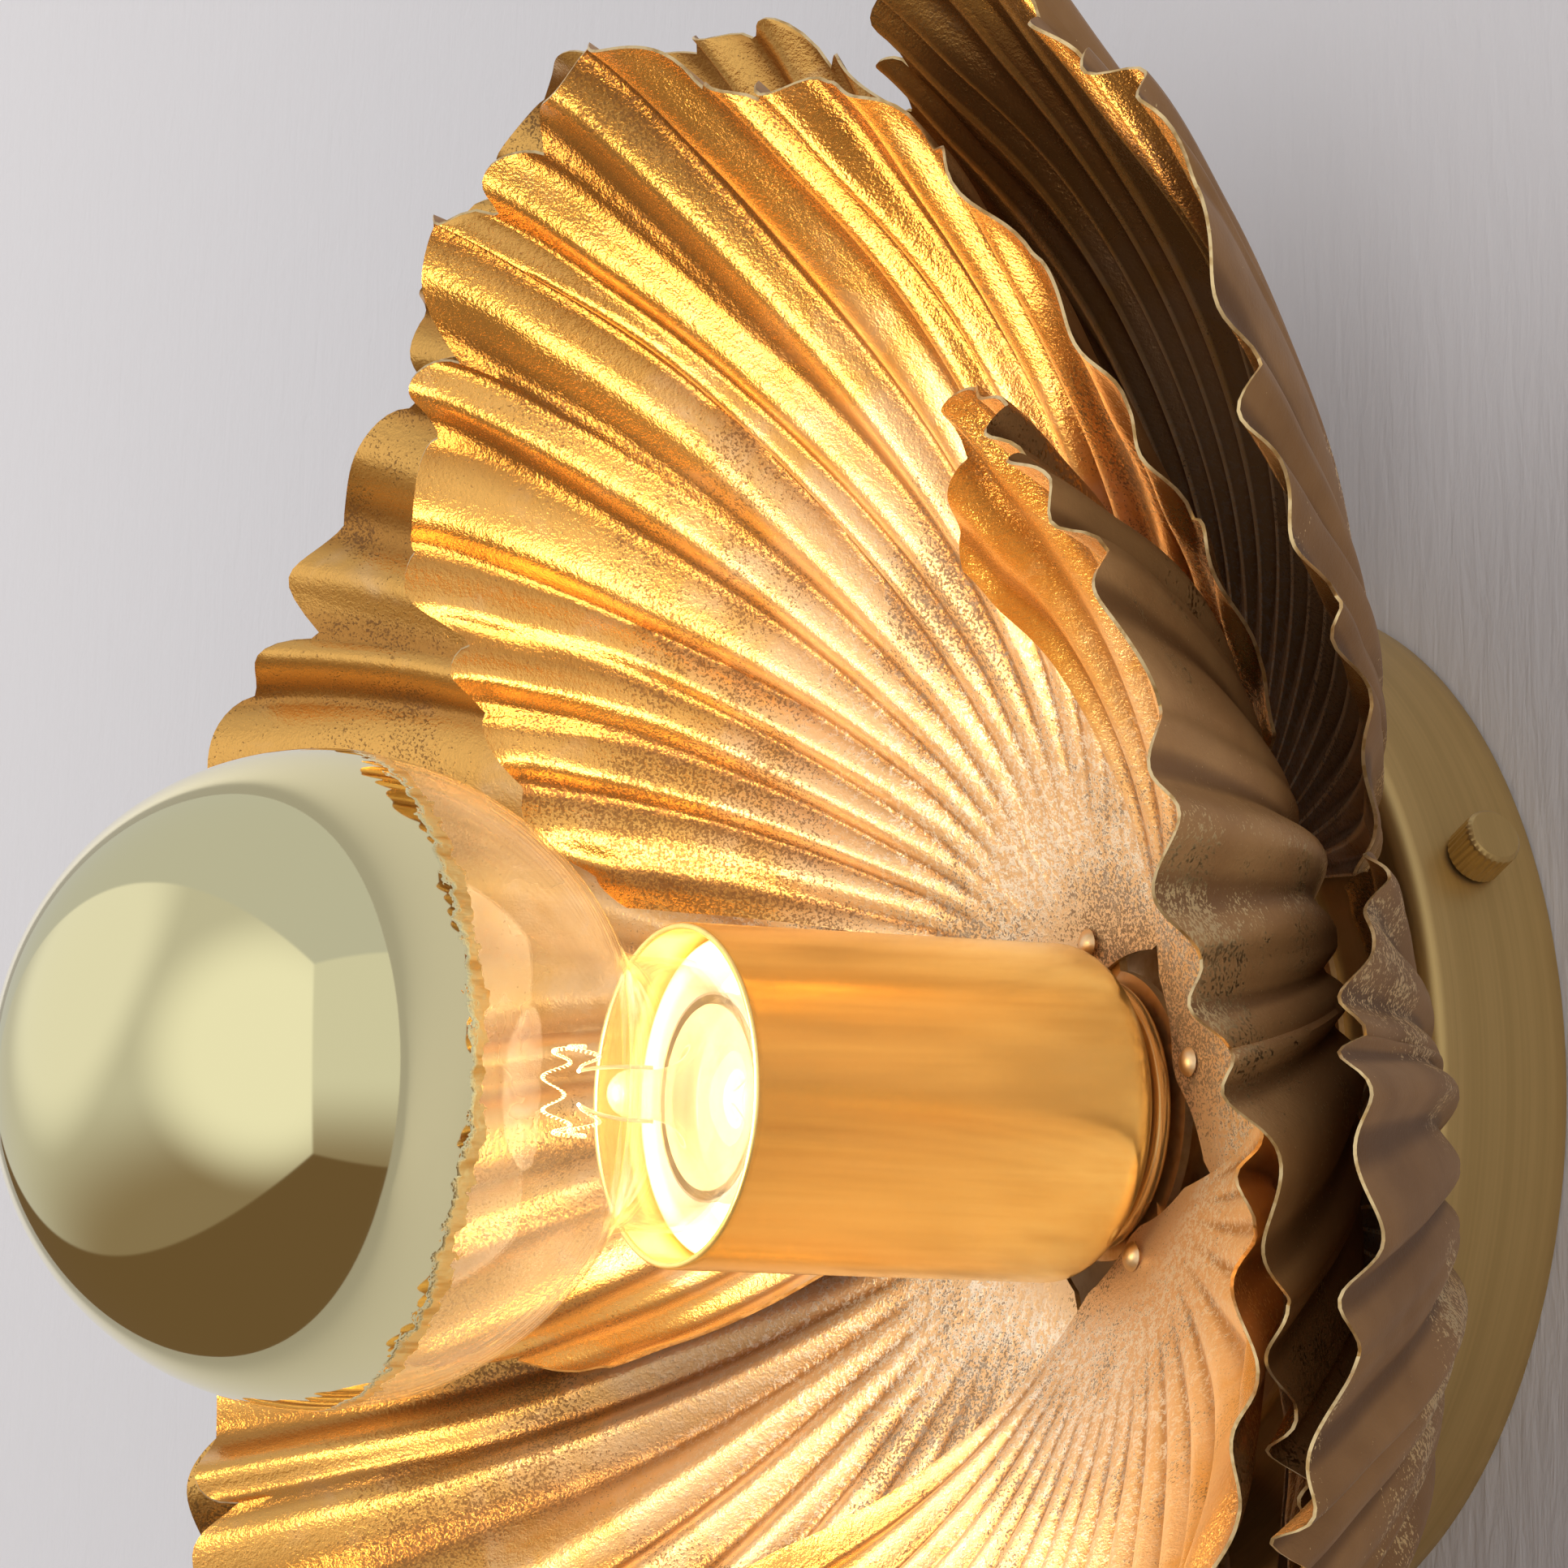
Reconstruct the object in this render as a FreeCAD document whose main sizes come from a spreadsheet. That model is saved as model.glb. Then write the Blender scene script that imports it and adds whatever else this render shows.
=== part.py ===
import FreeCAD, Part
import Sketcher
import math
import os
from types import SimpleNamespace

# A wall sconce: a lamp in a cup at the heart of a flower of ten stamped, ribbed leaves.
# Millimetres. X is right, Y goes into the wall, Z is up; the origin is on the wall at the canopy's centre.
# Lengths called forward are measured from the wall towards the room, along -Y.

sizes = {
    # canopy, wall bracket and the two thumb screws between them
    "canopyDiameter": 132.0,
    "canopyDepth": 19.5,
    "canopyWall": 1.2,
    "canopyEdge": 2.5,
    "bracketAngle": 25.0,
    "bracketWidth": 34.0,
    "bracketThickness": 1.6,
    "bracketEarWidth": 12.0,
    "bracketEarHeight": 15.0,
    "wallHoleSpacing": 88.9,
    "wallHoleDiameter": 5.0,
    "cableHoleDiameter": 16.0,
    "thumbScrewForward": 9.5,
    "thumbHeadDiameter": 7.5,
    "thumbHeadHeight": 5.5,
    "thumbKnurlDepth": 0.3,
    "thumbShankDiameter": 3.9,
    "thumbShankLength": 9.0,
    # hollow tube through the middle, with its nuts and washers
    "tubeDiameter": 9.8,
    "tubeBore": 7.0,
    "tubeBack": 10.0,
    "tubeFront": 46.0,
    "nutFlats": 14.0,
    "nutHeight": 5.0,
    "washerDiameter": 18.0,
    "washerThickness": 1.0,
    # leaf plates, spacer and rivets
    "outerPlateDiameter": 94.0,
    "outerPlateThickness": 0.8,
    "spacerDiameter": 24.0,
    "spacerThickness": 3.8,
    "innerHubDiameter": 37.0,
    "innerArmRoot": 2.0,
    "innerArmReach": 11.0,
    "innerArmWidth": 8.0,
    "innerPlateThickness": 1.2,
    "rivetShankDiameter": 2.2,
    "rivetHeadDiameter": 3.8,
    "rivetHeadHeight": 1.0,
    "rivetReach": 7.0,
    # one stamped leaf: a fan of ribs that starts at its apex
    "leafLength": 138.0,
    "innerFan": 69.0,
    "outerFan": 57.0,
    "innerShoulder": 0.46,
    "outerShoulder": 0.5,
    "leafThickness": 0.8,
    "leafFoot": 4.0,
    "leafClaw": 14.0,
    "leafRibs": 19,
    "leafFolds": 6,
    "leafRibDepth": 2.6,
    "leafScallop": 1.8,
    "leafLobe": 0.9,
    "leafRuffle": 0.8,
    "leafFlare": 1.2,
    "leafSway": 2.5,
    "innerApex": 15.0,
    "outerApex": 35.0,
    # collar, socket cup and lampholder
    "collarDiameter": 35.0,
    "collarHubDiameter": 24.0,
    "collarHubHeight": 0.9,
    "collarThickness": 2.6,
    "collarNeckDiameter": 27.0,
    "collarNeckHeight": 1.2,
    "cupDiameter": 43.0,
    "cupLength": 58.2,
    "cupWall": 1.0,
    "cupEdge": 4.5,
    "strapThickness": 1.2,
    "strapWidth": 12.0,
    "strapForward": 43.3,
    "strapBossDiameter": 14.0,
    "strapBossHeight": 4.3,
    "strapArmLength": 13.0,
    "holderRecess": 5.8,
    "holderLength": 29.4,
    "holderBackDiameter": 29.2,
    "holderBackLength": 13.0,
    "holderFlareLength": 6.0,
    "holderFloor": 4.0,
    "holderMouthDiameter": 34.8,
    "holderMouthDepth": 6.4,
    "socketDiameter": 26.9,
    "socketWall": 0.5,
    "socketLength": 20.0,
    "contactWidth": 7.0,
    "contactThickness": 1.5,
    "terminalScrewDiameter": 4.5,
    "terminalScrewHeight": 1.6,
    "terminalSpread": 9.0,
    # leads and terminal block inside the canopy
    "leadDiameter": 2.2,
    "leadSpacing": 3.4,
    "blockLength": 22.0,
    "blockWidth": 17.0,
    "blockHeight": 10.0,
    "blockStart": 20.0,
    "blockEntrySpacing": 8.0,
    "blockScrewDiameter": 3.6,
    "earthScrewDiameter": 7.0,
    "earthScrewHeight": 2.4,
    "earthScrewOffset": 24.0,
    # globe bulb
    "bulbDiameter": 80.0,
    "bulbCentre": 136.3,
    "bulbGlassWall": 0.8,
    "mirrorThickness": 0.25,
    "mirrorOverlap": 3.0,
    "neckDiameter": 34.0,
    "neckBlend": 12.0,
    "baseDiameter": 26.2,
    "baseBack": 64.5,
    "baseLength": 18.5,
    "baseWall": 0.4,
    "insulatorLength": 3.5,
    "tipDiameter": 9.6,
    "tipHeight": 2.4,
    "stemTop": 97.0,
    "stemDiameter": 6.0,
    "filamentRadius": 5.5,
    "filamentForward": 102.0,
    "filamentWire": 0.5,
    "poleFlat": 0.5,
    # clearances: threads and passing holes, pieces that seat, pieces that turn
    "holeClearance": 0.15,
    "seatClearance": 0.1,
    "turnClearance": 0.3,
}

# Each leaf is bent by hand on the frame, so each has its own angles in degrees: azimuth round the axis
# from +X to +Z, lean of the whole leaf, curl of its midline, rise of its left and right flanks, and twist.
bends = {
    "inner_leaf_right": dict(azimuth=13.5, lean=0.5, curl=64, left=52.5, right=30, twist=7),
    "inner_leaf_top": dict(azimuth=92.5, lean=8, curl=53, left=63.5, right=41.5, twist=6),
    "inner_leaf_upper_left": dict(azimuth=150, lean=10.5, curl=34, left=61, right=40.5, twist=10.5),
    "inner_leaf_lower_left": dict(azimuth=220.5, lean=8.5, curl=60, left=29, right=16, twist=-3),
    "inner_leaf_lower_right": dict(azimuth=301, lean=15.5, curl=28, left=45.5, right=50.5, twist=-3.5),
    "outer_leaf_upper_right": dict(azimuth=53, lean=4.5, curl=53, left=42.5, right=43, twist=1.5),
    "outer_leaf_upper_left": dict(azimuth=125.5, lean=1, curl=38, left=63.5, right=21.5, twist=0),
    "outer_leaf_left": dict(azimuth=198.5, lean=4, curl=47.5, left=44, right=3.5, twist=1),
    "outer_leaf_bottom": dict(azimuth=269.5, lean=3.5, curl=51.5, left=54, right=1.5, twist=0),
    "outer_leaf_lower_right": dict(azimuth=336.5, lean=1, curl=58, left=47, right=22, twist=0.5),
}

doc = FreeCAD.newDocument("LotusSconce")
sheet = doc.addObject("Spreadsheet::Sheet", "Sizes")
nodes = []


class Size:
    # A number together with its spreadsheet formula, so that geometry and bindings come from one expression.
    def __init__(self, value, text):
        self.value = float(value)
        self.text = text

    def __add__(self, other):
        other = asSize(other)
        return Size(self.value + other.value, f"({self.text} + {other.text})")

    def __sub__(self, other):
        other = asSize(other)
        return Size(self.value - other.value, f"({self.text} - {other.text})")

    def __mul__(self, other):
        other = asSize(other)
        return Size(self.value * other.value, f"({self.text} * {other.text})")

    def __truediv__(self, other):
        other = asSize(other)
        return Size(self.value / other.value, f"({self.text} / {other.text})")

    def __neg__(self):
        return Size(-self.value, f"(-{self.text})")

    def root(self):
        return Size(math.sqrt(self.value), f"sqrt({self.text})")

    def atMost(self, other):
        return Size(min(self.value, other.value), f"min({self.text}; {other.text})")

    __radd__ = __add__

    def __rsub__(self, other):
        return asSize(other) - self

    __rmul__ = __mul__


def asSize(value):
    return value if isinstance(value, Size) else Size(value, f"{float(value):.9f}")


def fillSheet():
    rows = dict(sizes)
    for leaf, angles in bends.items():
        for angle, value in angles.items():
            rows[f"{leaf}_{angle}"] = value
    for row, (alias, value) in enumerate(rows.items(), start=1):
        sheet.set(f"A{row}", alias)
        sheet.set(f"B{row}", str(value))
        sheet.setAlias(f"B{row}", alias)
    doc.recompute()
    return SimpleNamespace(**{alias: Size(sheet.get(alias), f"Sizes.{alias}") for alias in rows})


def bind(owner, name, size):
    size = asSize(size)
    setattr(owner, name, size.value)
    if "Sizes" in size.text:
        owner.setExpression(name, size.text)


def place(owner, forward=0, across=0, up=0, turn=None):
    # Moves an object to a point given from the axis and the wall, with every coordinate bound.
    spots = {"x": asSize(across), "y": -asSize(forward), "z": asSize(up)}
    base = FreeCAD.Vector(*(spot.value for spot in spots.values()))
    owner.Placement = FreeCAD.Placement(base, turn or FreeCAD.Rotation())
    for letter, spot in spots.items():
        if "Sizes" in spot.text:
            owner.setExpression(f"Placement.Base.{letter}", spot.text)


def azimuth(angle):
    # Turns +X towards +Z about the axis that goes into the wall.
    return FreeCAD.Rotation(FreeCAD.Vector(0, 1, 0), -asSize(angle).value)


forwardFromZ = FreeCAD.Rotation(FreeCAD.Vector(1, 0, 0), 90)
forwardFromY = FreeCAD.Rotation(FreeCAD.Vector(0, 0, 1), 180)


def keep(node, label):
    node.Label = label
    nodes.append(node)
    return node


def newSketch(body, role):
    sketch = body.newObject("Sketcher::SketchObject", body.Name + "Sketch")
    plane = next(feature for feature in body.Origin.OriginFeatures if feature.Role == role)
    sketch.AttachmentSupport = (plane, [""])
    sketch.MapMode = "FlatFace"
    return sketch


def bindDatum(sketch, index, size):
    if "Sizes" in size.text:
        sketch.setExpression(f"Constraints[{index}]", size.text)


def pinPoint(sketch, edge, end, x, y):
    for kind, axis, size in (("DistanceX", -2, asSize(x)), ("DistanceY", -1, asSize(y))):
        if abs(size.value) < 1e-9:
            sketch.addConstraint(Sketcher.Constraint("PointOnObject", edge, end, axis))
        else:
            index = sketch.addConstraint(Sketcher.Constraint(kind, -1, 1, edge, end, size.value))
            bindDatum(sketch, index, size)


def arcBetween(start, stop, radius, side):
    # The short arc from start to stop, with its centre on the left (side 1) or right (side -1) of the way.
    chord = stop - start
    left = FreeCAD.Vector(-chord.y, chord.x, 0).normalize() * side
    sagitta = math.sqrt(radius ** 2 - (chord.Length / 2) ** 2)
    centre = (start + stop) * 0.5 + left * sagitta
    first, last = (start, stop) if side > 0 else (stop, start)
    angles = [math.atan2(point.y - centre.y, point.x - centre.x) for point in (first, last)]
    if angles[1] < angles[0]:
        angles[1] += 2 * math.pi
    return Part.ArcOfCircle(Part.Circle(centre, FreeCAD.Vector(0, 0, 1), radius), *angles)


def drawOutline(sketch, corners):
    # A closed outline. A corner is (x, y), reached by a straight edge, or (x, y, radius, side), by an arc.
    ends = []
    for before, corner in zip(corners[-1:] + corners[:-1], corners):
        start, stop = (FreeCAD.Vector(asSize(p[0]).value, asSize(p[1]).value, 0) for p in (before, corner))
        if len(corner) == 2:
            ends.append((sketch.addGeometry(Part.LineSegment(start, stop)), 1, 2))
        else:
            radius, side = asSize(corner[2]), corner[3]
            edge = sketch.addGeometry(arcBetween(start, stop, radius.value, side))
            bindDatum(sketch, sketch.addConstraint(Sketcher.Constraint("Radius", edge, radius.value)), radius)
            ends.append((edge, 1, 2) if side > 0 else (edge, 2, 1))
    for (edge, _, last), (following, first, _), corner in zip(ends, ends[1:] + ends[:1], corners):
        sketch.addConstraint(Sketcher.Constraint("Coincident", edge, last, following, first))
        pinPoint(sketch, edge, last, corner[0], corner[1])


def drawCircle(sketch, x, y, diameter):
    x, y, diameter = asSize(x), asSize(y), asSize(diameter)
    centre = FreeCAD.Vector(x.value, y.value, 0)
    edge = sketch.addGeometry(Part.Circle(centre, FreeCAD.Vector(0, 0, 1), diameter.value / 2))
    bindDatum(sketch, sketch.addConstraint(Sketcher.Constraint("Diameter", edge, diameter.value)), diameter)
    pinPoint(sketch, edge, 3, x, y)


def revolved(label, corners):
    # A body turned about the sconce's axis, from an outline of (radius, forward) corners.
    body = keep(doc.addObject("PartDesign::Body", label), label)
    sketch = newSketch(body, "XY_Plane")
    drawOutline(sketch, corners)
    turning = body.newObject("PartDesign::Revolution", label + "Turning")
    turning.Profile = sketch
    turning.ReferenceAxis = (sketch, ["V_Axis"])
    turning.Angle = 360
    body.Placement = FreeCAD.Placement(FreeCAD.Vector(), forwardFromY)
    return body


def addPad(body, draw, length, backwards=False):
    # A pad that starts on the body's XZ plane and grows forward, or backwards towards the wall.
    sketch = newSketch(body, "XZ_Plane")
    draw(sketch)
    pad = body.newObject("PartDesign::Pad", body.Name + "Pad")
    pad.Profile = sketch
    pad.Reversed = backwards
    bind(pad, "Length", length)


def ring(inner, outer, back, front):
    return [(inner, back), (outer, back), (outer, front), (inner, front)]


def primitive(kind, name, **dimensions):
    solid = doc.addObject("Part::" + kind, name)
    for dimension, size in dimensions.items():
        bind(solid, dimension, size)
    return solid


def cylinder(name, diameter, length):
    return primitive("Cylinder", name, Radius=asSize(diameter) / 2, Height=length)


def fused(name, solids):
    union = doc.addObject("Part::MultiFuse", name)
    union.Shapes = solids
    return union


def cut(name, base, tools):
    difference = doc.addObject("Part::Cut", name)
    difference.Base = base
    difference.Tool = tools[0] if len(tools) == 1 else fused(name + "Tools", tools)
    return difference


d = fillSheet()

# Distances from the wall along the axis, stacked from the wall outwards.
canopyInner = d.canopyDiameter / 2 - d.canopyWall
outerPlateFront = d.canopyDepth + d.outerPlateThickness
innerPlateBack = outerPlateFront + d.spacerThickness
innerPlateFront = innerPlateBack + d.innerPlateThickness
collarBack = innerPlateFront + d.collarHubHeight
collarFront = collarBack + d.collarThickness
cupBack = collarFront + d.collarNeckHeight
cupMouth = cupBack + d.cupLength
cupFloor = cupBack + d.cupWall
holderFront = cupMouth - d.holderRecess
holderBack = holderFront - d.holderLength
tubeHole = d.tubeDiameter / 2 + d.holeClearance
strapFront = d.strapForward + d.strapThickness


def makeBracket():
    # A flat bar on the wall with an ear at each end that takes a thumb screw.
    ear = (canopyInner * canopyInner - d.bracketEarWidth * d.bracketEarWidth / 4).root() - d.turnClearance
    turn = azimuth(d.bracketAngle)
    bar = primitive("Box", "Bar", Length=ear * 2, Width=d.bracketThickness, Height=d.bracketWidth)
    bar.Placement.Base = FreeCAD.Vector(-ear.value, -d.bracketThickness.value, -d.bracketWidth.value / 2)
    bar.setExpression("Placement.Base.x", (-ear).text)
    bar.setExpression("Placement.Base.y", (-d.bracketThickness).text)
    bar.setExpression("Placement.Base.z", (-d.bracketWidth / 2).text)
    disc = cylinder("BarEnds", (canopyInner - d.turnClearance) * 2, d.bracketThickness)
    place(disc, turn=forwardFromZ)
    rounded = doc.addObject("Part::Common", "RoundedBar")
    rounded.Base, rounded.Tool = bar, disc
    solids = [rounded]
    holes = [cylinder("CableHole", d.cableHoleDiameter, d.bracketThickness * 3)]
    place(holes[0], forward=-d.bracketThickness, turn=forwardFromZ)
    screwWay = cylinder("ScrewWay", d.thumbShankDiameter + d.holeClearance * 2, ear * 2 + 2)
    place(screwWay, d.thumbScrewForward, across=-ear - 1, turn=FreeCAD.Rotation(FreeCAD.Vector(0, 1, 0), 90))
    holes.append(screwWay)
    for side in (-1, 1):
        upright = primitive("Box", "Ear", Length=d.bracketThickness, Width=d.bracketEarHeight,
                            Height=d.bracketEarWidth)
        inner = ear * side - (d.bracketThickness if side > 0 else 0)
        place(upright, d.bracketEarHeight, across=inner, up=-d.bracketEarWidth / 2)
        solids.append(upright)
        hole = cylinder("WallHole", d.wallHoleDiameter, d.bracketThickness * 3)
        place(hole, -d.bracketThickness, across=d.wallHoleSpacing / 2 * side, turn=forwardFromZ)
        holes.append(hole)
    hole = cylinder("EarthHole", d.terminalScrewDiameter, d.bracketThickness * 3)
    place(hole, -d.bracketThickness, across=-d.earthScrewOffset, turn=forwardFromZ)
    holes.append(hole)
    bracket = keep(cut("WallBracket", fused("BracketBlank", solids), holes), "wall_bracket")
    bracket.Placement = FreeCAD.Placement(FreeCAD.Vector(), turn)


def makeCanopy():
    # A spun drum, open at the wall, with a rounded front edge and a hole each side for the thumb screws.
    outer = d.canopyDiameter / 2
    depth, edge, wall = d.canopyDepth, d.canopyEdge, d.canopyWall
    drum = revolved("CanopyDrum", [
        (tubeHole, depth - wall), (canopyInner - edge + wall, depth - wall),
        (canopyInner, depth - edge, edge - wall, -1), (canopyInner, 0), (outer, 0), (outer, depth - edge),
        (outer - edge, depth, edge, 1), (tubeHole, depth)])
    nodes.remove(drum)
    way = cylinder("DrumScrewWay", d.thumbShankDiameter + d.turnClearance * 2, d.canopyDiameter + 2)
    turn = azimuth(d.bracketAngle).multiply(FreeCAD.Rotation(FreeCAD.Vector(0, 1, 0), 90))
    start = turn.multVec(FreeCAD.Vector(0, 0, -1)) * (outer.value + 1)
    way.Placement = FreeCAD.Placement(start - FreeCAD.Vector(0, d.thumbScrewForward.value, 0), turn)
    keep(cut("CanopyWithHoles", drum, [way]), "canopy_drum")


def makeThumbScrews():
    # Knurled heads on plain shanks that stand square on the canopy's side wall.
    knurls = 24
    radius = d.thumbHeadDiameter / 2

    def drawHead(sketch):
        corners = []
        for step in range(2 * knurls):
            reach = radius - d.thumbKnurlDepth * (step % 2)
            angle = math.pi * (step + 0.5) / knurls
            corners.append((reach * math.cos(angle), reach * math.sin(angle)))
        drawOutline(sketch, corners)

    for label, turn in (("thumb_screw_right", 0), ("thumb_screw_left", 180)):
        body = keep(doc.addObject("PartDesign::Body", "ThumbScrew"), label)
        shank = d.thumbShankLength + d.turnClearance
        addPad(body, lambda sketch: drawCircle(sketch, 0, 0, d.thumbShankDiameter), shank, backwards=True)
        addPad(body, drawHead, d.thumbHeadHeight)
        outward = azimuth(d.bracketAngle + turn).multVec(FreeCAD.Vector(1, 0, 0))
        seat = outward * (d.canopyDiameter.value / 2 + d.turnClearance.value)
        body.Placement = FreeCAD.Placement(seat - FreeCAD.Vector(0, d.thumbScrewForward.value, 0),
                                           FreeCAD.Rotation(FreeCAD.Vector(0, -1, 0), outward))


def makeTube():
    revolved("CentreTube", ring(d.tubeBore / 2, d.tubeDiameter / 2, d.tubeBack, d.tubeFront))
    nodes[-1].Label = "centre_tube"


def makeNut(label, forward):
    # A hexagon nut on the tube, growing forward from its back face.
    body = keep(doc.addObject("PartDesign::Body", "Nut"), label)
    corner = d.nutFlats / math.sqrt(3)

    def draw(sketch):
        angles = [math.pi / 3 * step for step in range(6)]
        drawOutline(sketch, [(corner * math.cos(angle), corner * math.sin(angle)) for angle in angles])
        drawCircle(sketch, 0, 0, tubeHole * 2)

    addPad(body, draw, d.nutHeight)
    place(body, forward)


def makeClamps():
    # One nut and washer inside the canopy, one pair inside the cup, and the collar between leaves and cup.
    canopyFace = d.canopyDepth - d.canopyWall
    washer = d.washerDiameter / 2
    revolved("canopy_washer", ring(tubeHole, washer, canopyFace - d.washerThickness, canopyFace))
    makeNut("canopy_nut", canopyFace - d.washerThickness - d.nutHeight)
    revolved("cup_washer", ring(tubeHole, washer, cupFloor, cupFloor + d.washerThickness))
    makeNut("cup_nut", cupFloor + d.washerThickness)
    half = d.collarThickness / 2
    flange = d.collarDiameter / 2
    revolved("collar", [
        (tubeHole, innerPlateFront), (d.collarHubDiameter / 2, innerPlateFront),
        (d.collarHubDiameter / 2, collarBack), (flange - half, collarBack),
        (flange, collarBack + half, half, 1), (flange - half, collarFront, half, 1),
        (d.collarNeckDiameter / 2, collarFront), (d.collarNeckDiameter / 2, cupBack), (tubeHole, cupBack)])


def leafApex(label):
    # Distance from the axis and from the wall of the point where a leaf's ribs meet.
    lift = d.seatClearance.value + d.leafThickness.value / 2
    if label.startswith("inner"):
        return d.innerApex.value, innerPlateFront.value + lift
    return d.outerApex.value, outerPlateFront.value + lift


def smooth(start, stop, value):
    # Rises from 0 at start to 1 at stop without a kink.
    share = min(max((value - start) / (stop - start), 0.0), 1.0)
    return share * share * (3 - 2 * share)


def leafFrame(label):
    # Where a leaf stands: x runs out along its midline and y backwards, with its lean, twist and azimuth.
    lean = FreeCAD.Rotation(FreeCAD.Vector(0, 0, 1), -getattr(d, f"{label}_lean").value)
    twist = FreeCAD.Rotation(FreeCAD.Vector(1, 0, 0), getattr(d, f"{label}_twist").value)
    radius, forward = leafApex(label)
    apex = FreeCAD.Placement(FreeCAD.Vector(radius, -forward, 0), lean.multiply(twist))
    return FreeCAD.Placement(FreeCAD.Vector(), azimuth(getattr(d, f"{label}_azimuth"))).multiply(apex)


def leafFormula(label):
    # Gives the function that finds a leaf's points. across runs from -1 to 1 over the fan, along from 0 at
    # the foot to 1 at the rim. Every rib is an arc that curls forward and sways a little; ribs deepen towards
    # the rim, with sharp ridges inside and round backs outside, and uneven waves ruffle the last part.
    frame = leafFrame(label)
    row = label.split("_")[0]
    spread, shoulder = (getattr(d, row + size).value for size in ("Fan", "Shoulder"))
    angle = {name: math.radians(getattr(d, f"{label}_{name}").value) for name in bends[label]}
    phase = 3 * angle["azimuth"]

    def point(across, along, offset=0.0, ribbed=True):
        flank = angle["left"] if across > 0 else angle["right"]
        curl = max(angle["curl"] + (flank - angle["curl"]) * across ** 2, 1e-3)
        sway = d.leafSway.value * smooth(0.05, 0.4, along) * (1 - across ** 2)
        sway *= math.sin(5 * along + 1.5 * across + phase)
        fan = math.radians(spread * across + (sway if ribbed else 0.0))
        rib = d.leafRibs.value * (across + 1) / 2
        wave = abs(math.sin(math.pi * rib))
        start = d.leafFoot.value + d.leafClaw.value * abs(across) ** 3
        reach = d.leafLength.value * (1 - shoulder * across ** 2) - start
        reach += d.leafScallop.value * (2 * wave - 1)
        reach += d.leafLobe.value * (math.sin(1.9 * rib + phase) + 0.6 * math.sin(3.7 * rib + 2 * phase))
        height = offset
        if ribbed:
            ruffle = smooth(0.7, 1.0, along)
            crest = smooth(0.08, 0.63, along)
            crest += d.leafRuffle.value * ruffle * (1 + 0.4 * math.sin(2.6 * rib + phase))
            height += d.leafRibDepth.value / 2 * crest * (1 - 2 * wave ** 1.4)
            height += d.leafFlare.value * ruffle * math.sin(1.4 * rib + phase)
        bend = curl * along
        out = start + reach * math.sin(bend) / curl - height * math.sin(bend)
        rise = reach * (1 - math.cos(bend)) / curl + height * math.cos(bend)
        return frame.multVec(FreeCAD.Vector(out * math.cos(fan), -rise, out * math.sin(fan)))

    return point


def makeLeaf(label):
    # A thin pleated sheet: curves run from foot to rim, a few to every rib, on the inside and on the outside.
    # Ruled strips join neighbouring curves and close the edge all round.
    point = leafFormula(label)
    columns = int(d.leafRibs.value * d.leafFolds.value)
    rows = 8
    steps = [row / rows for row in range(rows + 1)]
    sides = []
    for side in (1, -1):
        offset = side * d.leafThickness.value / 2
        curves = []
        for column in range(columns + 1):
            across = 2 * column / columns - 1
            curve = Part.BSplineCurve()
            curve.interpolate(Points=[point(across, along, offset) for along in steps], Parameters=steps)
            curves.append(curve.toShape())
        sides.append(curves)
    faces = [Part.makeRuledSurface(*pair) for curves in sides for pair in zip(curves, curves[1:])]
    faces += [Part.makeRuledSurface(sides[0][end], sides[1][end]) for end in (0, -1)]
    for end in (0, 1):
        inside, outside = ([curve.Vertexes[end].Point for curve in curves] for curves in sides)
        for near, far in zip(zip(inside, inside[1:]), zip(outside, outside[1:])):
            faces.append(Part.makeRuledSurface(Part.makeLine(*near), Part.makeLine(*far)))
    shell = Part.makeShell(faces)
    shell.sewShape()
    sheetMetal = Part.makeSolid(shell)
    if sheetMetal.Volume < 0:
        sheetMetal.reverse()
    leaf = keep(doc.addObject("Part::Feature", "Leaf"), label)
    leaf.Shape = sheetMetal.cut(rivetHole(label))


def rivetSpot(label, offset=0.0):
    # Where a leaf's rivet goes through it, on the leaf's midline, or a point in front of that or behind it.
    along = (d.rivetReach - d.leafFoot).value / (d.leafLength - d.leafFoot).value
    return leafFormula(label)(0, along, offset, ribbed=False)


def rivetHole(label):
    spot = rivetSpot(label)
    radius = d.rivetShankDiameter.value / 2 + d.holeClearance.value
    reach = 4.0
    return Part.makeCylinder(radius, 2 * reach, spot + FreeCAD.Vector(0, reach, 0), FreeCAD.Vector(0, -1, 0))


def makeRivets(label, row):
    # Round-headed rivets through the leaf feet, flush with the back of their plate or arm.
    solids = []
    armBack = (d.leafThickness / 2 + d.seatClearance + d.innerPlateThickness).value
    for leaf in (name for name in bends if name.startswith(row)):
        spot = rivetSpot(leaf)
        back = -rivetSpot(leaf, -armBack).y if row == "inner" else (d.canopyDepth + d.seatClearance).value
        lean, twist = (abs(getattr(d, f"{leaf}_{angle}").value) for angle in ("lean", "twist"))
        headRadius = d.rivetHeadDiameter.value / 2
        lift = d.leafThickness.value / 2 + headRadius * math.tan(math.radians(lean + twist + 3))
        foot = FreeCAD.Vector(spot.x, -back, spot.z)
        forward = FreeCAD.Vector(0, -1, 0)
        length = -spot.y + lift - back
        shank = Part.makeCylinder(d.rivetShankDiameter.value / 2, length, foot, forward)
        headHeight = d.rivetHeadHeight.value
        ball = (headRadius ** 2 + headHeight ** 2) / (2 * headHeight)
        centre = foot + forward * (length + headHeight - ball)
        cap = Part.makeCylinder(headRadius, headHeight, foot + forward * length, forward)
        solids.append(shank.fuse(cap.common(Part.makeSphere(ball, centre))))
    rivets = keep(doc.addObject("Part::Feature", "Rivets"), label)
    rivets.Shape = Part.makeCompound(solids)


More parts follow.
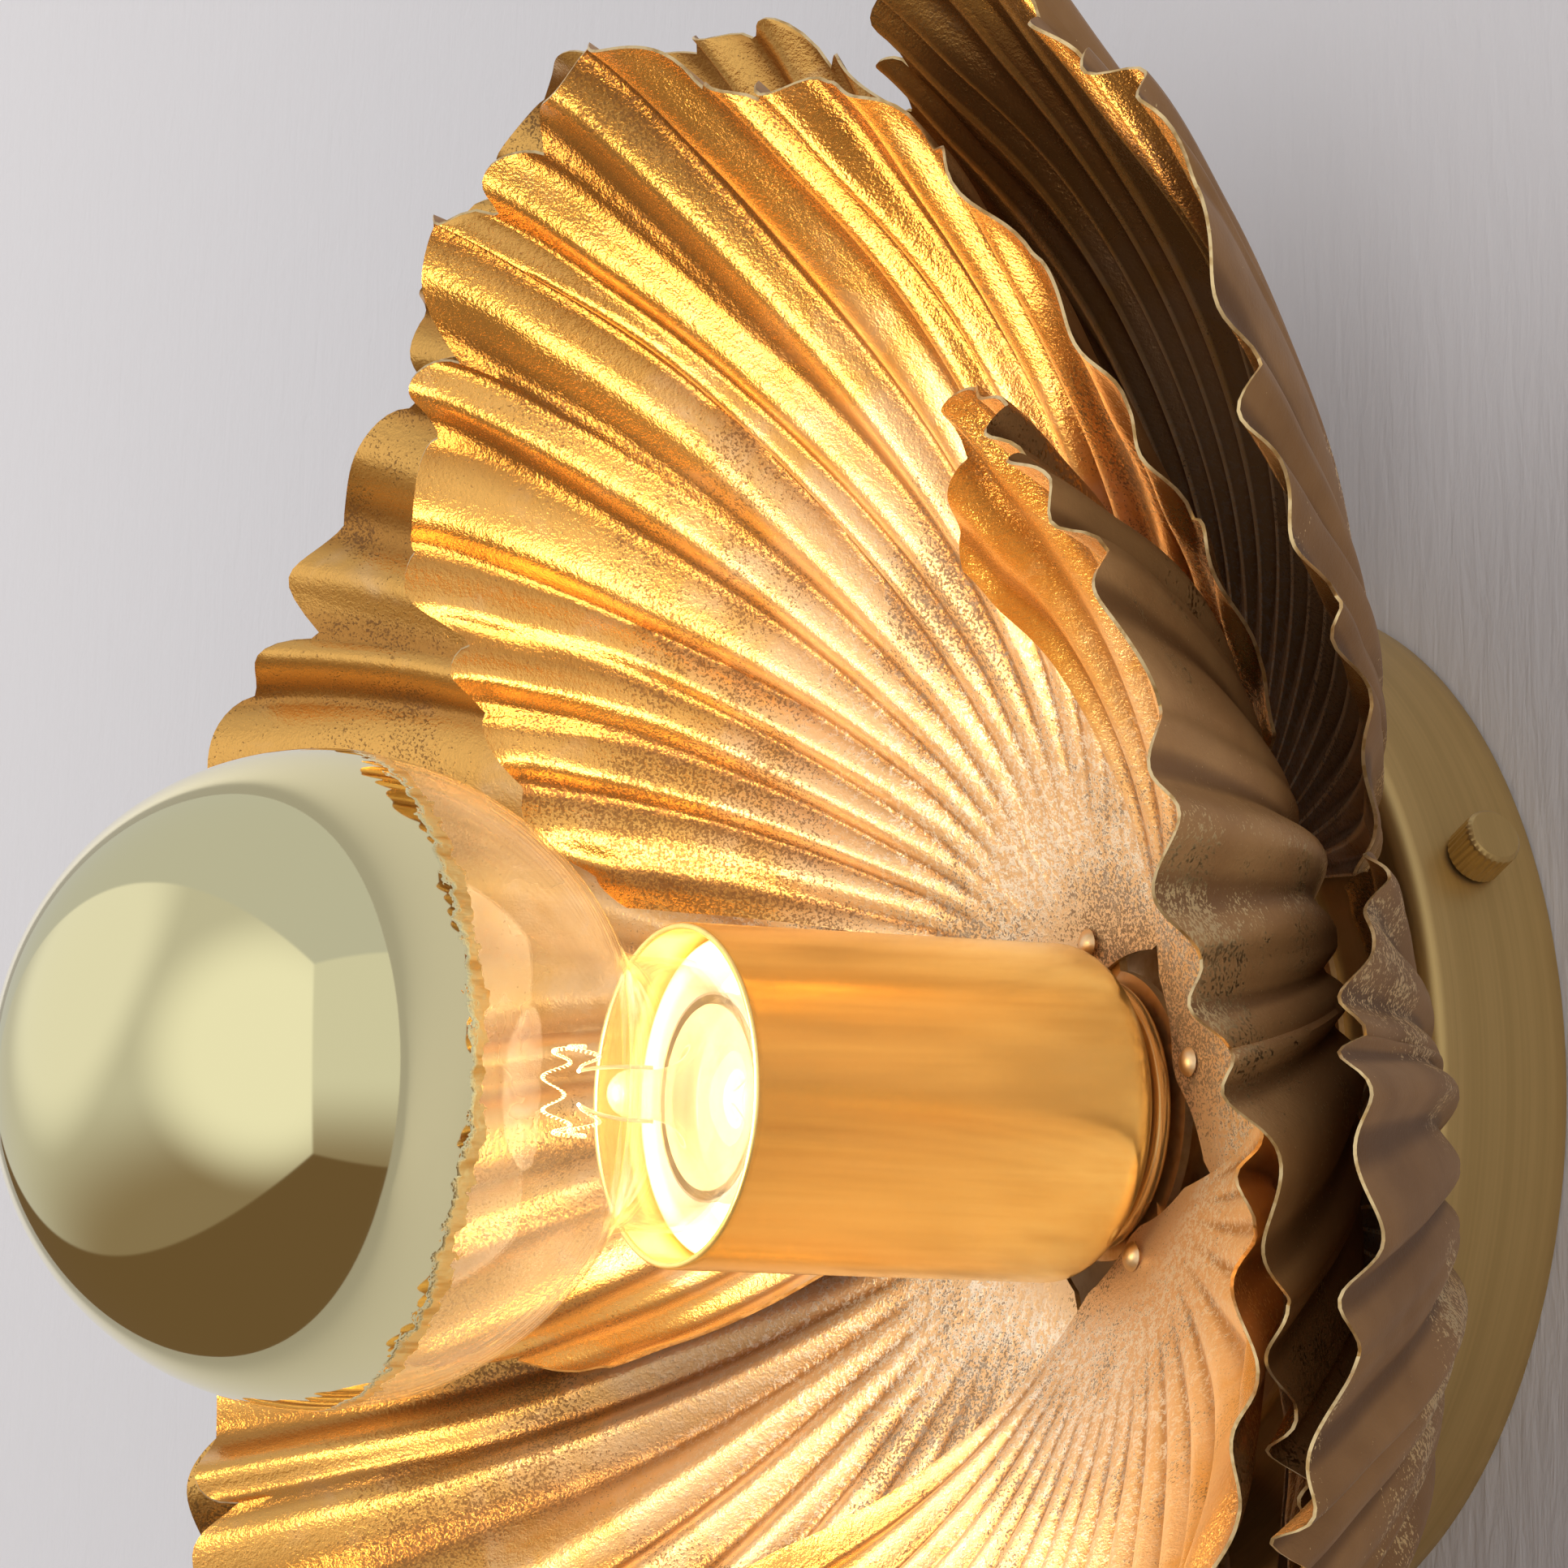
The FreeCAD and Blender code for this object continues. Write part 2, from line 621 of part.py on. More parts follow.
def makeArm(leaf):
    # An arm of the spider, bent to lie flat behind the foot of its leaf.
    arm = primitive("Box", "Arm", Length=d.innerArmRoot + d.innerArmReach, Width=d.innerPlateThickness,
                    Height=d.innerArmWidth)
    front = (d.leafThickness / 2 + d.seatClearance).value
    corner = FreeCAD.Vector(-d.innerArmRoot.value, front, -d.innerArmWidth.value / 2)
    arm.Placement = leafFrame(leaf).multiply(FreeCAD.Placement(corner, FreeCAD.Rotation()))
    return arm


def makePlates():
    # A round plate for the outer row and a spider with one arm for each inner leaf, with a spacer between.
    hole = d.rivetShankDiameter + d.holeClearance * 2
    blank = cylinder("OuterPlateBlank", d.outerPlateDiameter, d.outerPlateThickness)
    place(blank, d.canopyDepth, turn=forwardFromZ)
    hub = cylinder("InnerHub", d.innerHubDiameter, d.innerPlateThickness)
    place(hub, innerPlateBack, turn=forwardFromZ)
    arms = [hub]
    holes = {"inner": [], "outer": []}
    for leaf in bends:
        row = leaf.split("_")[0]
        spot = rivetSpot(leaf)
        way = cylinder("RivetWay", hole, d.canopyDepth)
        start = FreeCAD.Vector(spot.x, -d.canopyDepth.value + 4, spot.z)
        way.Placement = FreeCAD.Placement(start, forwardFromZ)
        holes[row].append(way)
        if row == "inner":
            arms.append(makeArm(leaf))
    for row in holes:
        bore = cylinder("TubeWay", tubeHole * 2, d.canopyDepth * 2)
        place(bore, d.canopyDepth / 2, turn=forwardFromZ)
        holes[row].append(bore)
    keep(cut("OuterPlate", blank, holes["outer"]), "outer_leaf_plate")
    keep(cut("InnerPlate", fused("InnerSpider", arms), holes["inner"]), "inner_leaf_spider")
    revolved("leaf_spacer", ring(tubeHole, d.spacerDiameter / 2, outerPlateFront, innerPlateBack))


def makeCup():
    # A drawn cup with a rounded base edge, open towards the bulb.
    outer = d.cupDiameter / 2
    inner = outer - d.cupWall
    edge = d.cupEdge
    revolved("socket_cup", [
        (tubeHole, cupBack), (outer - edge, cupBack), (outer, cupBack + edge, edge, 1), (outer, cupMouth),
        (inner, cupMouth), (inner, cupBack + edge), (outer - edge, cupFloor, edge - d.cupWall, -1),
        (tubeHole, cupFloor)])


def makeLampholder():
    # A porcelain holder with a screw shell and a centre contact, carried by a strap screwed on the tube.
    back = d.holderBackDiameter / 2
    wide = d.cupDiameter / 2 - d.cupWall - d.turnClearance
    mouth = d.holderMouthDiameter / 2
    bore = d.socketDiameter / 2 + d.socketWall + d.holeClearance
    shoulder = holderBack + d.holderBackLength
    floor = holderBack + d.holderFloor
    mouthFloor = holderFront - d.holderMouthDepth
    lip = (wide - mouth) / 2
    revolved("lampholder_body", [
        (0, holderBack), (back, holderBack), (back, shoulder), (wide, shoulder + d.holderFlareLength),
        (wide, holderFront - lip), (wide - lip, holderFront, lip, 1), (mouth, holderFront - lip, lip, 1),
        (mouth, mouthFloor), (bore, mouthFloor), (bore, floor), (0, floor)])
    shell = d.socketDiameter / 2
    revolved("lampholder_screw_shell", ring(shell, shell + d.socketWall, floor, floor + d.socketLength))
    revolved("lampholder_contact", ring(0, d.contactWidth / 2, floor, floor + d.contactThickness))
    screws = []
    for side in (-1, 1):
        screw = cylinder("TerminalScrew", d.terminalScrewDiameter, d.terminalScrewHeight)
        place(screw, holderBack - d.terminalScrewHeight, up=d.terminalSpread * side, turn=forwardFromZ)
        screws.append(screw)
    group = keep(doc.addObject("Part::Compound", "TerminalScrews"), "lampholder_terminals")
    group.Links = screws
    group.Placement = FreeCAD.Placement(FreeCAD.Vector(), azimuth(d.bracketAngle))
    makeStrap(back + d.seatClearance)


def makeStrap(armSeat):
    # A bent strap with a threaded boss for the tube and an arm on each side of the holder.
    plate = primitive("Box", "StrapPlate", Length=(armSeat + d.strapThickness) * 2, Width=d.strapThickness,
                      Height=d.strapWidth)
    place(plate, strapFront, across=-(armSeat + d.strapThickness), up=-d.strapWidth / 2)
    boss = cylinder("StrapBoss", d.strapBossDiameter, d.strapBossHeight + d.strapThickness)
    place(boss, d.strapForward - d.strapBossHeight, turn=forwardFromZ)
    solids = [plate, boss]
    for side in (-1, 1):
        arm = primitive("Box", "StrapArm", Length=d.strapThickness, Width=d.strapArmLength,
                        Height=d.strapWidth)
        near = armSeat * side - (0 if side > 0 else d.strapThickness)
        place(arm, d.strapForward + d.strapArmLength, across=near, up=-d.strapWidth / 2)
        solids.append(arm)
    bore = cylinder("StrapBore", tubeHole * 2, d.tubeFront)
    place(bore, d.tubeBack, turn=forwardFromZ)
    strap = keep(cut("Strap", fused("StrapBlank", solids), [bore]), "lampholder_strap")
    strap.Placement = FreeCAD.Placement(FreeCAD.Vector(), azimuth(d.bracketAngle))


def tubeAlong(points, radius):
    # A round wire along straight runs joined by tangent arcs, each as large as the runs beside it allow.
    runs = [(after - before).Length for before, after in zip(points, points[1:])]
    runs[0] *= 2
    runs[-1] *= 2
    edges = []
    start = points[0]
    for before, corner, after, *near in zip(points, points[1:], points[2:], runs, runs[1:]):
        arrive = (before - corner).normalize()
        leave = (after - corner).normalize()
        half = arrive.getAngle(leave) / 2
        inset = 0.45 * min(near)
        bend = inset * math.tan(half)
        middle = corner + (arrive + leave).normalize() * (bend / math.sin(half) - bend)
        edges.append(Part.LineSegment(start, corner + arrive * inset).toShape())
        edges.append(Part.Arc(corner + arrive * inset, middle, corner + leave * inset).toShape())
        start = corner + leave * inset
    edges.append(Part.LineSegment(start, points[-1]).toShape())
    path = Part.Wire(edges)
    section = Part.Wire(Part.makeCircle(radius, points[0], points[1] - points[0]))
    return path.makePipeShell([section], True, False)


def makeWiring():
    # Two leads from the holder's terminals down the tube to a terminal block on the bracket.
    turn = azimuth(d.bracketAngle)
    holderEnd = (holderBack - d.terminalScrewHeight - d.seatClearance).value
    level = d.tubeFront.value + d.leadDiameter.value * 0.75
    low = d.bracketThickness.value + d.blockHeight.value / 2
    for label, side in (("live_lead", 1), ("neutral_lead", -1)):
        inTube = d.leadSpacing.value / 2 * side
        entry = d.blockEntrySpacing.value / 2 * side
        spread = d.terminalSpread.value * side
        start = d.blockStart.value - d.seatClearance.value
        route = [(0, holderEnd, spread), (0, level, spread), (0, level, inTube), (0, low, inTube),
                 (start / 2, low, entry), (start, low, entry)]
        points = [turn.multVec(FreeCAD.Vector(x, -forward, z)) for x, forward, z in route]
        lead = keep(doc.addObject("Part::Feature", "Lead"), label)
        lead.Shape = tubeAlong(points, d.leadDiameter.value / 2)
    block = primitive("Box", "Block", Length=d.blockLength, Width=d.blockHeight, Height=d.blockWidth)
    place(block, d.bracketThickness + d.blockHeight, across=d.blockStart, up=-d.blockWidth / 2)
    ways = []
    screws = []
    screwDepth = d.blockHeight / 4
    for side in (-1, 1):
        entry = d.blockEntrySpacing / 2 * side
        way = cylinder("LeadWay", d.leadDiameter + d.holeClearance * 2, d.blockLength * 2)
        place(way, d.bracketThickness + d.blockHeight / 2, across=d.blockStart - d.blockLength / 2, up=entry,
              turn=FreeCAD.Rotation(FreeCAD.Vector(0, 1, 0), 90))
        ways.append(way)
        for along in (0.25, 0.75):
            spot = d.blockStart + d.blockLength * along
            top = d.bracketThickness + d.blockHeight - screwDepth
            pocket = cylinder("ScrewPocket", d.blockScrewDiameter + d.holeClearance * 2, d.blockHeight)
            place(pocket, top, across=spot, up=entry, turn=forwardFromZ)
            ways.append(pocket)
            screw = cylinder("BlockScrew", d.blockScrewDiameter, screwDepth * 0.8)
            place(screw, top, across=spot, up=entry, turn=forwardFromZ)
            screws.append(screw)
    keep(cut("BlockCut", block, ways), "terminal_block").Placement = FreeCAD.Placement(FreeCAD.Vector(), turn)
    group = doc.addObject("Part::Compound", "BlockScrews")
    group.Links = screws
    keep(group, "terminal_block_screws").Placement = FreeCAD.Placement(FreeCAD.Vector(), turn)
    earth = [cylinder("EarthHead", d.earthScrewDiameter, d.earthScrewHeight),
             cylinder("EarthShank", d.terminalScrewDiameter - d.holeClearance * 2, d.bracketThickness)]
    place(earth[0], d.bracketThickness, across=-d.earthScrewOffset, turn=forwardFromZ)
    place(earth[1], 0, across=-d.earthScrewOffset, turn=forwardFromZ)
    keep(fused("EarthScrew", earth), "earth_screw").Placement = FreeCAD.Placement(FreeCAD.Vector(), turn)


def globeOutline(radius, neck, blend, cut):
    # Where a neck, a hollow blend and a globe on the axis meet, from the neck's start up to the front.
    out = neck + blend
    down = ((radius + blend) * (radius + blend) - out * out).root()
    share = radius / (radius + blend)
    touch = (out * share, d.bulbCentre - down * share)
    pole = polePoint(radius)
    return [(neck, cut), (neck, d.bulbCentre - down), (touch[0], touch[1], blend, -1),
            (radius, d.bulbCentre, radius, 1), (d.poleFlat, pole, radius, 1), (0, pole)]


def polePoint(radius):
    # How far forward a globe on the axis reaches at the edge of the small flat that closes its pole.
    return d.bulbCentre + (radius * radius - d.poleFlat * d.poleFlat).root()


def makeBulb():
    # A globe lamp: clear glass with a mirrored front, a stem with a filament, and a screw base.
    glass = d.bulbDiameter / 2 - d.mirrorThickness - d.seatClearance / 2
    wall = d.bulbGlassWall
    baseFront = d.baseBack + d.baseLength
    throat = d.baseDiameter / 2 - d.baseWall - d.seatClearance
    neck = d.neckDiameter / 2
    flare = baseFront + d.seatClearance
    shoulder = neck - throat
    room = d.bulbCentre - flare - shoulder - d.seatClearance
    blend = d.neckBlend.atMost((room * room - glass * glass + neck * neck) / ((glass - neck) * 2))
    outside = globeOutline(glass, neck, blend, flare + shoulder)
    inside = globeOutline(glass - wall, neck - wall, blend + wall, flare + shoulder)
    back = [point[:2] for point in reversed(inside)]
    hollow = [*back[:2], (*back[2], glass - wall, -1), (*back[3], glass - wall, -1),
              (*back[4], blend + wall, 1), back[5]]
    revolved("bulb_glass", [(throat - wall, flare - d.baseLength / 4), (throat, flare - d.baseLength / 4),
                            (throat, flare), *outside, *hollow, (throat - wall, flare)])
    rim = d.bulbCentre - d.mirrorOverlap
    outer = d.bulbDiameter / 2
    inner = outer - d.mirrorThickness
    side = [(radius * radius - d.mirrorOverlap * d.mirrorOverlap).root() for radius in (inner, outer)]
    revolved("bulb_mirror", [
        (side[0], rim, inner, -1), (side[1], rim), (outer, d.bulbCentre, outer, 1),
        (d.poleFlat, polePoint(outer), outer, 1), (0, polePoint(outer)), (0, polePoint(inner)),
        (d.poleFlat, polePoint(inner)), (inner, d.bulbCentre, inner, -1)])
    nodes[-1].Label = "bulb_mirror_cap"
    stem = d.stemDiameter / 2
    foot = throat - wall - d.seatClearance
    ball = d.stemTop - stem
    tip = ball + (stem * stem - d.poleFlat * d.poleFlat).root()
    revolved("bulb_stem", [(0, flare - d.baseLength / 4), (foot, flare - d.baseLength / 4), (foot, flare),
                           (stem, flare + (foot - stem), foot - stem, -1), (stem, ball),
                           (d.poleFlat, tip, stem, 1), (0, tip)])
    shell = d.baseDiameter / 2
    revolved("bulb_screw_base", ring(shell - d.baseWall, shell, d.baseBack, baseFront))
    insulatorBack = d.baseBack - d.insulatorLength
    revolved("bulb_insulator", [(0, insulatorBack), (d.tipDiameter / 2 + 1, insulatorBack),
                                (shell, d.baseBack), (0, d.baseBack)])
    tipBack = insulatorBack - d.tipHeight
    revolved("bulb_contact_tip", [(0, tipBack), (d.tipDiameter / 4, tipBack),
                                  (d.tipDiameter / 2, insulatorBack), (0, insulatorBack)])
    makeFilament(stem)


def makeFilament(stem):
    # An open ring of wire that zigzags up and down, held at its ends by two lead-in wires from the stem.
    turns, wave, gap = 14, 1.6, math.radians(25)
    radius, wire = d.filamentRadius.value, d.filamentWire.value
    points = []
    for step in range(turns + 1):
        angle = gap + (2 * math.pi - 2 * gap) * step / turns
        height = d.filamentForward.value + wave * (-1) ** step
        points.append(FreeCAD.Vector(radius * math.cos(angle), -height, radius * math.sin(angle)))
    filament = keep(doc.addObject("Part::Feature", "Filament"), "bulb_filament")
    filament.Shape = tubeAlong(points, wire / 2)
    solids = []
    for side, end in ((1, points[0]), (-1, points[-1])):
        beside = (stem + d.filamentWire / 2 + d.seatClearance).value * side
        foot = FreeCAD.Vector(0, -d.stemTop.value + 6, beside)
        knee = FreeCAD.Vector(0, -d.stemTop.value - 1, beside)
        inward = FreeCAD.Vector(-end.x, 0, -end.z).normalize()
        solids.append(tubeAlong([foot, knee, end + inward * (wire + d.seatClearance.value)], wire / 2))
    supports = keep(doc.addObject("Part::Feature", "FilamentWires"), "bulb_filament_wires")
    supports.Shape = Part.makeCompound(solids)


def checkAndWrite():
    doc.recompute()
    for item in doc.Objects:
        if any(state in ("Invalid", "Error") for state in item.State):
            raise RuntimeError(f"{item.Label}: {item.State}")
    for node in nodes:
        if node.Shape.isNull() or not node.Shape.isValid() or not node.Shape.Solids:
            raise RuntimeError(f"{node.Label}: no valid solid")
    os.makedirs("parts", exist_ok=True)
    for node in nodes:
        node.Shape.exportStep(f"parts/{node.Label}.step")
        box = node.Shape.BoundBox
        print(f"{node.Label}: {len(node.Shape.Solids)} solid(s), {node.Shape.Volume / 1000:.2f} cm3, "
              f"{box.XLength:.1f} x {box.YLength:.1f} x {box.ZLength:.1f}")


makeBracket()
makeCanopy()
makeThumbScrews()
makeTube()
makeClamps()
makePlates()
for name in bends:
    makeLeaf(name)
makeRivets("inner_leaf_rivets", "inner")
makeRivets("outer_leaf_rivets", "outer")
makeCup()
makeLampholder()
makeWiring()
makeBulb()
checkAndWrite()
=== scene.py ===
import bmesh
import bpy
import math
import numpy as np
from mathutils import Matrix, Vector


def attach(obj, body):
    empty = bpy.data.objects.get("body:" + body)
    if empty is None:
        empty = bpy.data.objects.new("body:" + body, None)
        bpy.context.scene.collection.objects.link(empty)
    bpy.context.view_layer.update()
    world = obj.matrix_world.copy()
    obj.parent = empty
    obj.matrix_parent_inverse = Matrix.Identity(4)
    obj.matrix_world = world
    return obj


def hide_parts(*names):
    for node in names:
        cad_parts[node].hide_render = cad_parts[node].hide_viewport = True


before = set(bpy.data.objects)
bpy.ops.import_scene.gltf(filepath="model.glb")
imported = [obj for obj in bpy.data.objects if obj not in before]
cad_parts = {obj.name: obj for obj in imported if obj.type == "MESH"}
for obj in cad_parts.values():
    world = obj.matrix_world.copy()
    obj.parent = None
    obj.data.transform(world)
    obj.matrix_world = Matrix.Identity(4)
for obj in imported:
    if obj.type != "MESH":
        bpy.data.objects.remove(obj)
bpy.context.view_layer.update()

mm = 0.001
print("frame loaded:", len(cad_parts), "nodes")


# A wire is an output socket; sums on wires add Math nodes.
class Wire:
    def __init__(self, paint, socket):
        self.paint, self.socket = paint, socket

    def sum(self, operation, first, second):
        return self.paint.node("Math", {"operation": operation}, {0: first, 1: second})

    def __add__(self, other):
        return self.sum("ADD", self, other)

    def __radd__(self, other):
        return self.sum("ADD", other, self)

    def __sub__(self, other):
        return self.sum("SUBTRACT", self, other)

    def __rsub__(self, other):
        return self.sum("SUBTRACT", other, self)

    def __mul__(self, other):
        return self.sum("MULTIPLY", self, other)

    def __rmul__(self, other):
        return self.sum("MULTIPLY", other, self)

    def __truediv__(self, other):
        return self.sum("DIVIDE", self, other)

    def __pow__(self, other):
        return self.sum("POWER", self, other)


class Paint:
    def __init__(self, name, home=bpy.data.materials):
        self.material = home.new(name)
        self.material.use_nodes = True
        self.tree = self.material.node_tree
        self.tree.nodes.clear()

    def node(self, kind, settings=None, sockets=None, out=0):
        made = self.tree.nodes.new("ShaderNode" + kind)
        for key, value in (settings or {}).items():
            setattr(made, key, value)
        for key, value in (sockets or {}).items():
            if isinstance(value, Wire):
                self.tree.links.new(value.socket, made.inputs[key])
            else:
                made.inputs[key].default_value = value
        return Wire(self, made.outputs[out]) if made.outputs else None

    def place(self):
        return self.node("TexCoord", out="Object")

    def stretched(self, x, y, z):  # object coordinates, scaled along each axis
        return self.node("VectorMath", {"operation": "MULTIPLY"}, {0: self.place(), 1: (x, y, z)})

    def part(self, vector, letter):  # one coordinate of a vector
        return self.node("SeparateXYZ", None, {0: vector}, out=letter)

    def dot(self, vector, direction):
        return self.node("VectorMath", {"operation": "DOT_PRODUCT"}, {0: vector, 1: direction},
                         out="Value")

    def greater(self, first, second):
        return self.node("Math", {"operation": "MAXIMUM"}, {0: first, 1: second})

    def noise(self, vector, scale, detail=3.0, rough=0.55, distortion=0.0):
        return self.node("TexNoise", None, {"Vector": vector, "Scale": scale, "Detail": detail,
                                            "Roughness": rough, "Distortion": distortion})

    def step(self, value, low, high):  # smooth step from 0 at low to 1 at high
        return self.node("MapRange", {"interpolation_type": "SMOOTHSTEP"},
                         {0: value, 1: low, 2: high, 3: 0.0, 4: 1.0})

    def span(self, value, low, high):  # from 0..1 to low..high
        return self.node("MapRange", None, {0: value, 1: 0.0, 2: 1.0, 3: low, 4: high})

    def mix(self, factor, first, second):
        colours = [c if isinstance(c, Wire) else (*c, 1.0) for c in (first, second)]
        return self.node("Mix", {"data_type": "RGBA"}, {0: factor, 6: colours[0], 7: colours[1]}, out=2)

    def attribute(self, name):
        return self.node("Attribute", {"attribute_name": name}, out="Fac")

    def bump(self, height, strength, distance):
        return self.node("Bump", None, {"Strength": strength, "Distance": distance, "Height": height})

    def surface(self, **sockets):  # Base_Color stands for the socket Base Color
        values = {key.replace("_", " "): (*value, 1.0) if isinstance(value, tuple) else value
                  for key, value in sockets.items()}
        shader = self.node("BsdfPrincipled", None, values)
        self.node("OutputMaterial", None, {"Surface": shader})
        return self.material


# Noise scales are per metre. A pair says where along the leaf, from foot to rim, a step starts and ends.
# brown is painted shade for leaves that lie in shadow; the last pair says where a painted highlight spares
# their rim.
gilding = dict(gold=(0.85, 0.47, 0.125), pale=(0.86, 0.58, 0.31), amber=(0.38, 0.155, 0.032),
               speck=(0.12, 0.055, 0.018), sand=(0.98, 0.91, 0.78), brown=(0.19, 0.085, 0.032),
               cloud=30.0, wash=110.0, coarse=900.0, fine=2600.0,
               foot=(0.06, 0.36), inner=(0.35, 0.85), creaseStart=(0.11, 0.27), sandStart=(0.04, 0.12),
               sandEnd=(0.16, 0.62), rimHighlightAt=(0.88, 1.0))


def gildedInside(name, depth):
    # Gold leaf over sheet metal: deep gold towards the rim, a pale sanded foot, amber creases that are
    # partly patina and partly painted shade, and clusters of dark specks. depth paints brown shade over
    # leaves that lie in shadow, sparing thin painted highlights along the ridges and a painted highlight
    # towards the rim.
    look = gilding
    paint = Paint(name)
    place = paint.place()
    rib = paint.attribute("rib")
    along = paint.attribute("along")
    cloud = paint.noise(place, look["cloud"], 4.0, 0.6)
    wash = paint.noise(place, look["wash"], 3.0, 0.6, 0.6)
    fine = paint.noise(place, look["fine"], 2.0, 0.6)
    coarse = paint.noise(place, look["coarse"], 3.0, 0.65)
    foot = 1.0 - paint.step(along, *look["foot"])
    inner = 1.0 - paint.step(along, *look["inner"])
    colour = paint.mix(paint.step(wash * 0.7 + inner * 0.4, 0.38, 0.72), look["gold"], look["pale"])
    # Creases painted amber: partly patina, partly painted shade.
    crease = paint.step(0.0 - rib, -0.3, 1.0) * paint.step(along, *look["creaseStart"])
    colour = paint.mix(crease * paint.span(cloud, 0.5, 1.0), colour, look["amber"])
    sanded = paint.step(along, *look["sandStart"]) * (1.0 - paint.step(along, *look["sandEnd"]))
    scratches = paint.step(coarse * 0.5 + fine * 0.5 + foot * 0.05, 0.50, 0.58)
    colour = paint.mix(sanded * scratches * 0.85, colour, look["sand"])
    crowd = paint.step(cloud + foot * 0.12 + crease * 0.06, 0.47, 0.68)
    specks = paint.step(fine + crowd * 0.20, 0.66, 0.74) * 0.75
    blots = paint.step(coarse + crowd * 0.16, 0.70, 0.78) * 0.6
    dirt = paint.greater(specks, blots)
    colour = paint.mix(dirt, colour, look["speck"])
    # Painted highlights: thin lines along the ridges, and the rim, are spared the painted shade.
    ridgeHighlight = paint.step(rib, 0.80, 0.97)
    shadeBeforeRimHighlight = 1.0 - 0.7 * paint.step(along, *look["rimHighlightAt"])
    # depth paints brown shade over leaves that lie in shadow.
    colour = paint.mix(depth * shadeBeforeRimHighlight * (1.0 - 0.8 * ridgeHighlight), colour, look["brown"])
    rough = 0.16 + 0.13 * wash + 0.25 * dirt + 0.15 * inner
    grain = coarse * 0.6 + fine * 0.4
    return paint.surface(Base_Color=colour, Metallic=0.84 - 0.3 * dirt - 0.24 * inner, Roughness=rough,
                         Normal=paint.bump(grain, 0.42, 0.0005))


ageing = dict(fleck=(0.84, 0.60, 0.28), cloud=38.0, patch=22.0, coarse=480.0, fine=1900.0)


def agedOutside(name, base, light, dark):
    # The leaf's back: matte champagne brown with patches of gold flecks, dark in the furrows between the
    # round ribs.
    look = ageing
    paint = Paint(name)
    place = paint.place()
    rib = paint.attribute("rib")
    cloud = paint.noise(place, look["cloud"], 4.0, 0.6)
    patch = paint.noise(place, look["patch"], 3.0, 0.55)
    fine = paint.noise(place, look["fine"], 2.0, 0.6)
    coarse = paint.noise(place, look["coarse"], 4.0, 0.7)
    colour = paint.mix(paint.step(cloud, 0.34, 0.68), base, light)
    colour = paint.mix(paint.step(rib, 0.35, 1.0) * 0.75, colour, dark)
    flecks = paint.step(fine + coarse * 0.5 + paint.step(patch, 0.46, 0.68) * 0.33, 1.02, 1.12)
    colour = paint.mix(flecks, colour, look["fleck"])
    return paint.surface(Base_Color=colour, Metallic=0.62 + 0.38 * flecks,
                         Roughness=0.56 - 0.22 * flecks - 0.1 * cloud,
                         Normal=paint.bump(coarse * 0.6 + fine * 0.4, 0.3, 0.0004))


def cutEdge():
    # The sheared rim, rubbed bright.
    paint = Paint("leaf_edge")
    worn = paint.noise(paint.place(), 420.0, 3.0, 0.6)
    colour = paint.mix(paint.step(worn, 0.42, 0.66), (0.90, 0.68, 0.36), (0.60, 0.38, 0.15))
    return paint.surface(Base_Color=colour, Metallic=0.9, Roughness=0.3 + 0.2 * worn)


def satinBrass(name, streak, colours, roughness):
    # Lacquered brass with fine streaks: streak scales the object coordinates, small along the streaks.
    # colours are the dark streaks, the light ones and cloudy patches.
    paint = Paint(name)
    lines = paint.noise(paint.stretched(*streak), 1.0, 3.0, 0.6)
    broad = paint.noise(paint.stretched(*(0.14 * s for s in streak)), 1.0, 2.0, 0.5)
    cloud = paint.noise(paint.place(), 60.0, 3.0, 0.5)
    colour = paint.mix(paint.step(broad * 0.6 + lines * 0.4, 0.38, 0.64), colours[0], colours[1])
    colour = paint.mix(paint.step(cloud, 0.58, 0.8) * 0.15, colour, colours[2])
    rough = roughness + 0.12 * (lines - 0.5) + 0.04 * (cloud - 0.5)
    return paint.surface(Base_Color=colour, Metallic=0.82, Roughness=rough,
                         Normal=paint.bump(lines, 0.12, 0.0002))


turning = dict(dark=(0.55, 0.375, 0.145), light=(0.68, 0.475, 0.195), lines=1800.0, bands=260.0)


def turnedBrass():
    # The canopy: lines round the axis, from the spinning lathe, with a brown lacquer tone. The noise is read
    # at (distance from the axis, distance from the wall), with a little wander.
    look = turning
    paint = Paint("canopy_brushed_brass")
    depth = paint.part(paint.place(), "Y")
    flat = paint.stretched(1.0, 0.0, 1.0)
    radius = paint.node("VectorMath", {"operation": "LENGTH"}, {0: flat}, out="Value")
    wander = paint.noise(paint.place(), 9.0, 2.0, 0.5)
    lineAt = paint.node("CombineXYZ", None, {0: radius * look["lines"], 1: depth * look["lines"],
                                             2: wander * 4.0})
    lines = paint.noise(lineAt, 1.0, 3.0, 0.65)
    bandAt = paint.node("CombineXYZ", None, {0: radius * look["bands"], 1: depth * look["bands"],
                                             2: wander * 6.0})
    bands = paint.noise(bandAt, 1.0, 2.0, 0.5)
    colour = paint.mix(paint.step(lines * 0.4 + bands * 0.6, 0.30, 0.72), look["dark"], look["light"])
    return paint.surface(Base_Color=colour, Metallic=0.95, Roughness=0.36 + 0.1 * lines,
                         Normal=paint.bump(lines, 0.07, 0.0002))


def plainBrass(name, light, dark):
    paint = Paint(name)
    tarnish = paint.noise(paint.place(), 160.0, 4.0, 0.6)
    grain = paint.noise(paint.place(), 1400.0, 2.0, 0.5)
    colour = paint.mix(paint.step(tarnish, 0.42, 0.7), light, dark)
    return paint.surface(Base_Color=colour, Metallic=1.0, Roughness=0.32 + 0.2 * tarnish,
                         Normal=paint.bump(grain, 0.15, 0.0002))


